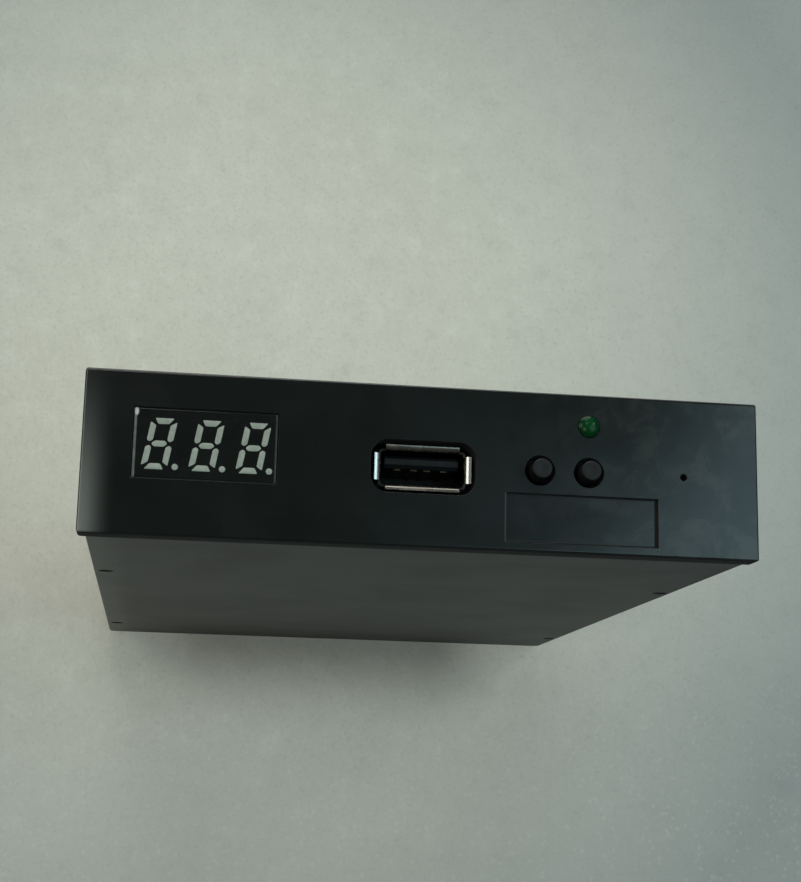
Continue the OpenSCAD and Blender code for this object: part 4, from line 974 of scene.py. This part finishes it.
def stoneMaterial(name, look, rays):
    material, tree, shader, place = newMaterial(name)
    cloud = noiseAt(tree, place, Scale=14, Detail=5, Roughness=0.6)
    base = addSparkle(tree, place, speckle(tree, place, cloud, look), look)
    if "foot" in look:
        base = shadeFoot(tree, place, base, look)
    wire(tree, (base, shader.inputs["Base Color"]), (base, shader.inputs["Emission Color"]),
         (ramp(tree, cloud, 0.3, 0.7, *look["rough"]), shader.inputs["Roughness"]))
    shader.inputs["Emission Strength"].default_value = look["glow"]
    shader.inputs["Specular IOR Level"].default_value = look["gloss"]
    mix, shown = seenFrom(tree, shader.outputs[0], *rays)
    fading = ramp(tree, distanceTo(tree, place, look["middle"]), *look["fade"], 1, 0)
    wire(tree, (product(tree, shown, fading), mix.inputs[0]),
         (mix.outputs[0], tree.nodes["Material Output"].inputs["Surface"]))
    return material


stoneLook = {"left": (0.474, 0.482, 0.414), "right": (0.62, 0.665, 0.60), "across": (0.017, 0.21),
             "paleFleck": (0.58, 0.60, 0.53), "darkFleck": (0.29, 0.31, 0.26), "glow": 0.4,
             "bright": (-0.022, cadBox[1][1], 0.062), "dim": (0.027, 0.226, 0, 0.97),
             "dimColour": (0.115, 0.14, 0.15), "dimEnd": 0.72, "sparkle": (0.02, -0.05, 0.03, 0.11),
             "lowDown": (-0.01, -0.045, 0, 0.125), "lowAcross": (0.11, 0.05), "foot": (0.027, 0.0495, 0.62),
             "middle": (0, cadBox[1][1], 0.01), "fade": (0.24, 0.42), "rough": (0.5, 0.65), "gloss": 0.2,
             "size": 1.2, "back": 0.2 * mm}
floorLook = {"left": (0.46, 0.48, 0.43), "right": (0.46, 0.48, 0.44), "across": (-0.5, 0.5),
             "paleFleck": (0.58, 0.60, 0.54), "darkFleck": (0.36, 0.38, 0.33), "glow": 0.2,
             "bright": (0, 0, 0), "dim": (0.3, 1.5, 0, 0.1), "dimColour": (0.36, 0.38, 0.34), "dimEnd": 1.0,
             "sparkle": (0.02, -0.05, 0.03, 0.11), "middle": (0, 0, 0), "fade": (0.5, 1.6),
             "rough": (0.5, 0.65), "gloss": 0.2, "size": 4, "down": 0.2 * mm}


def addStage(name, place, turn, look, rays):
    clearSelection()
    bpy.ops.mesh.primitive_plane_add(size=look["size"], location=place, rotation=turn)
    sheet = bpy.context.object
    sheet.name = name
    settle(sheet)
    sheet.data.materials.append(stoneMaterial(name, look, rays))


addStage("stoneSlab", (0, cadBox[1][1] + stoneLook["back"], 0), (math.pi / 2, 0, 0), stoneLook,
         ["Is Camera Ray", "Is Glossy Ray", "Is Transmission Ray"])
addStage("paleFloor", (0, 0, -floorLook["down"]), (0, 0, 0), floorLook, ["Is Camera Ray"])

roomLook = {"seen": (0.47, 0.49, 0.45), "light": (0.07, 0.073, 0.07)}
world = bpy.data.worlds.new("room")
bpy.context.scene.world = world
world.use_nodes = True
worldTree = world.node_tree
path = addNode(worldTree, "ShaderNodeLightPath")
roomColour = blendColours(worldTree, path.outputs["Is Camera Ray"], roomLook["light"], roomLook["seen"])
wire(worldTree, (roomColour, worldTree.nodes["Background"].inputs["Color"]))

lamps = {
    "rightWindow": {"place": (0.645, -0.99, -0.017), "size": 0.8, "power": 3.9, "colour": (0.6, 0.9, 1),
                    "roll": -38},
    "lowSoftbox": {"place": (-0.52, -1.18, -0.25), "size": 0.5, "power": 2.2, "colour": (1, 0.97, 0.88)},
    "frontSoftbox": {"place": (-0.15, -1.13, 0.66), "size": 0.3, "power": 1.2, "colour": (1, 0.99, 0.93)},
    "leftSoftbox": {"place": (-0.94, -0.74, 0.36), "size": 0.6, "power": 3.0, "colour": (1, 0.98, 0.9)},
    "sideSoftbox": {"place": (0.85, -0.80, 0.61), "size": 0.3, "power": 1.6, "colour": (1, 1, 0.96)},
    "topSoftbox": {"place": (-0.1, -0.15, 1.0), "size": 0.8, "power": 6.0, "colour": (1, 1, 0.97)},
    "backSoftbox": {"place": (0.45, 0.80, 0.55), "size": 0.6, "power": 8.0, "colour": (1, 1, 0.98)},
}
aimPoint = Vector((0, 0, 0.01))
for name, lamp in lamps.items():
    clearSelection()
    turn = (aimPoint - Vector(lamp["place"])).to_track_quat("-Z", "Y")
    turn = turn @ Quaternion((0, 0, 1), math.radians(lamp.get("roll", 0)))
    bpy.ops.object.light_add(type="AREA", location=lamp["place"], rotation=turn.to_euler())
    light = bpy.context.object
    light.name = name
    light.data.energy = lamp["power"]
    light.data.size = lamp["size"]
    light.data.color = lamp["colour"]

cameraSettings = {"place": (-37.74, -314.71, -36.89), "turn": (102.131, -1.283, -8.127), "lens": 68.95,
                  "sensor": 36, "clip": 0.005}
clearSelection()
bpy.ops.object.camera_add(location=Vector(cameraSettings["place"]) * mm,
                          rotation=[math.radians(angle) for angle in cameraSettings["turn"]])
camera = bpy.context.object
camera.name = "photoCamera"
camera.data.lens = cameraSettings["lens"]
camera.data.sensor_width = cameraSettings["sensor"]
camera.data.clip_start = cameraSettings["clip"]
bpy.context.scene.camera = camera
bpy.context.scene.view_settings.view_transform = "Standard"
print("stage, lamps and camera set")
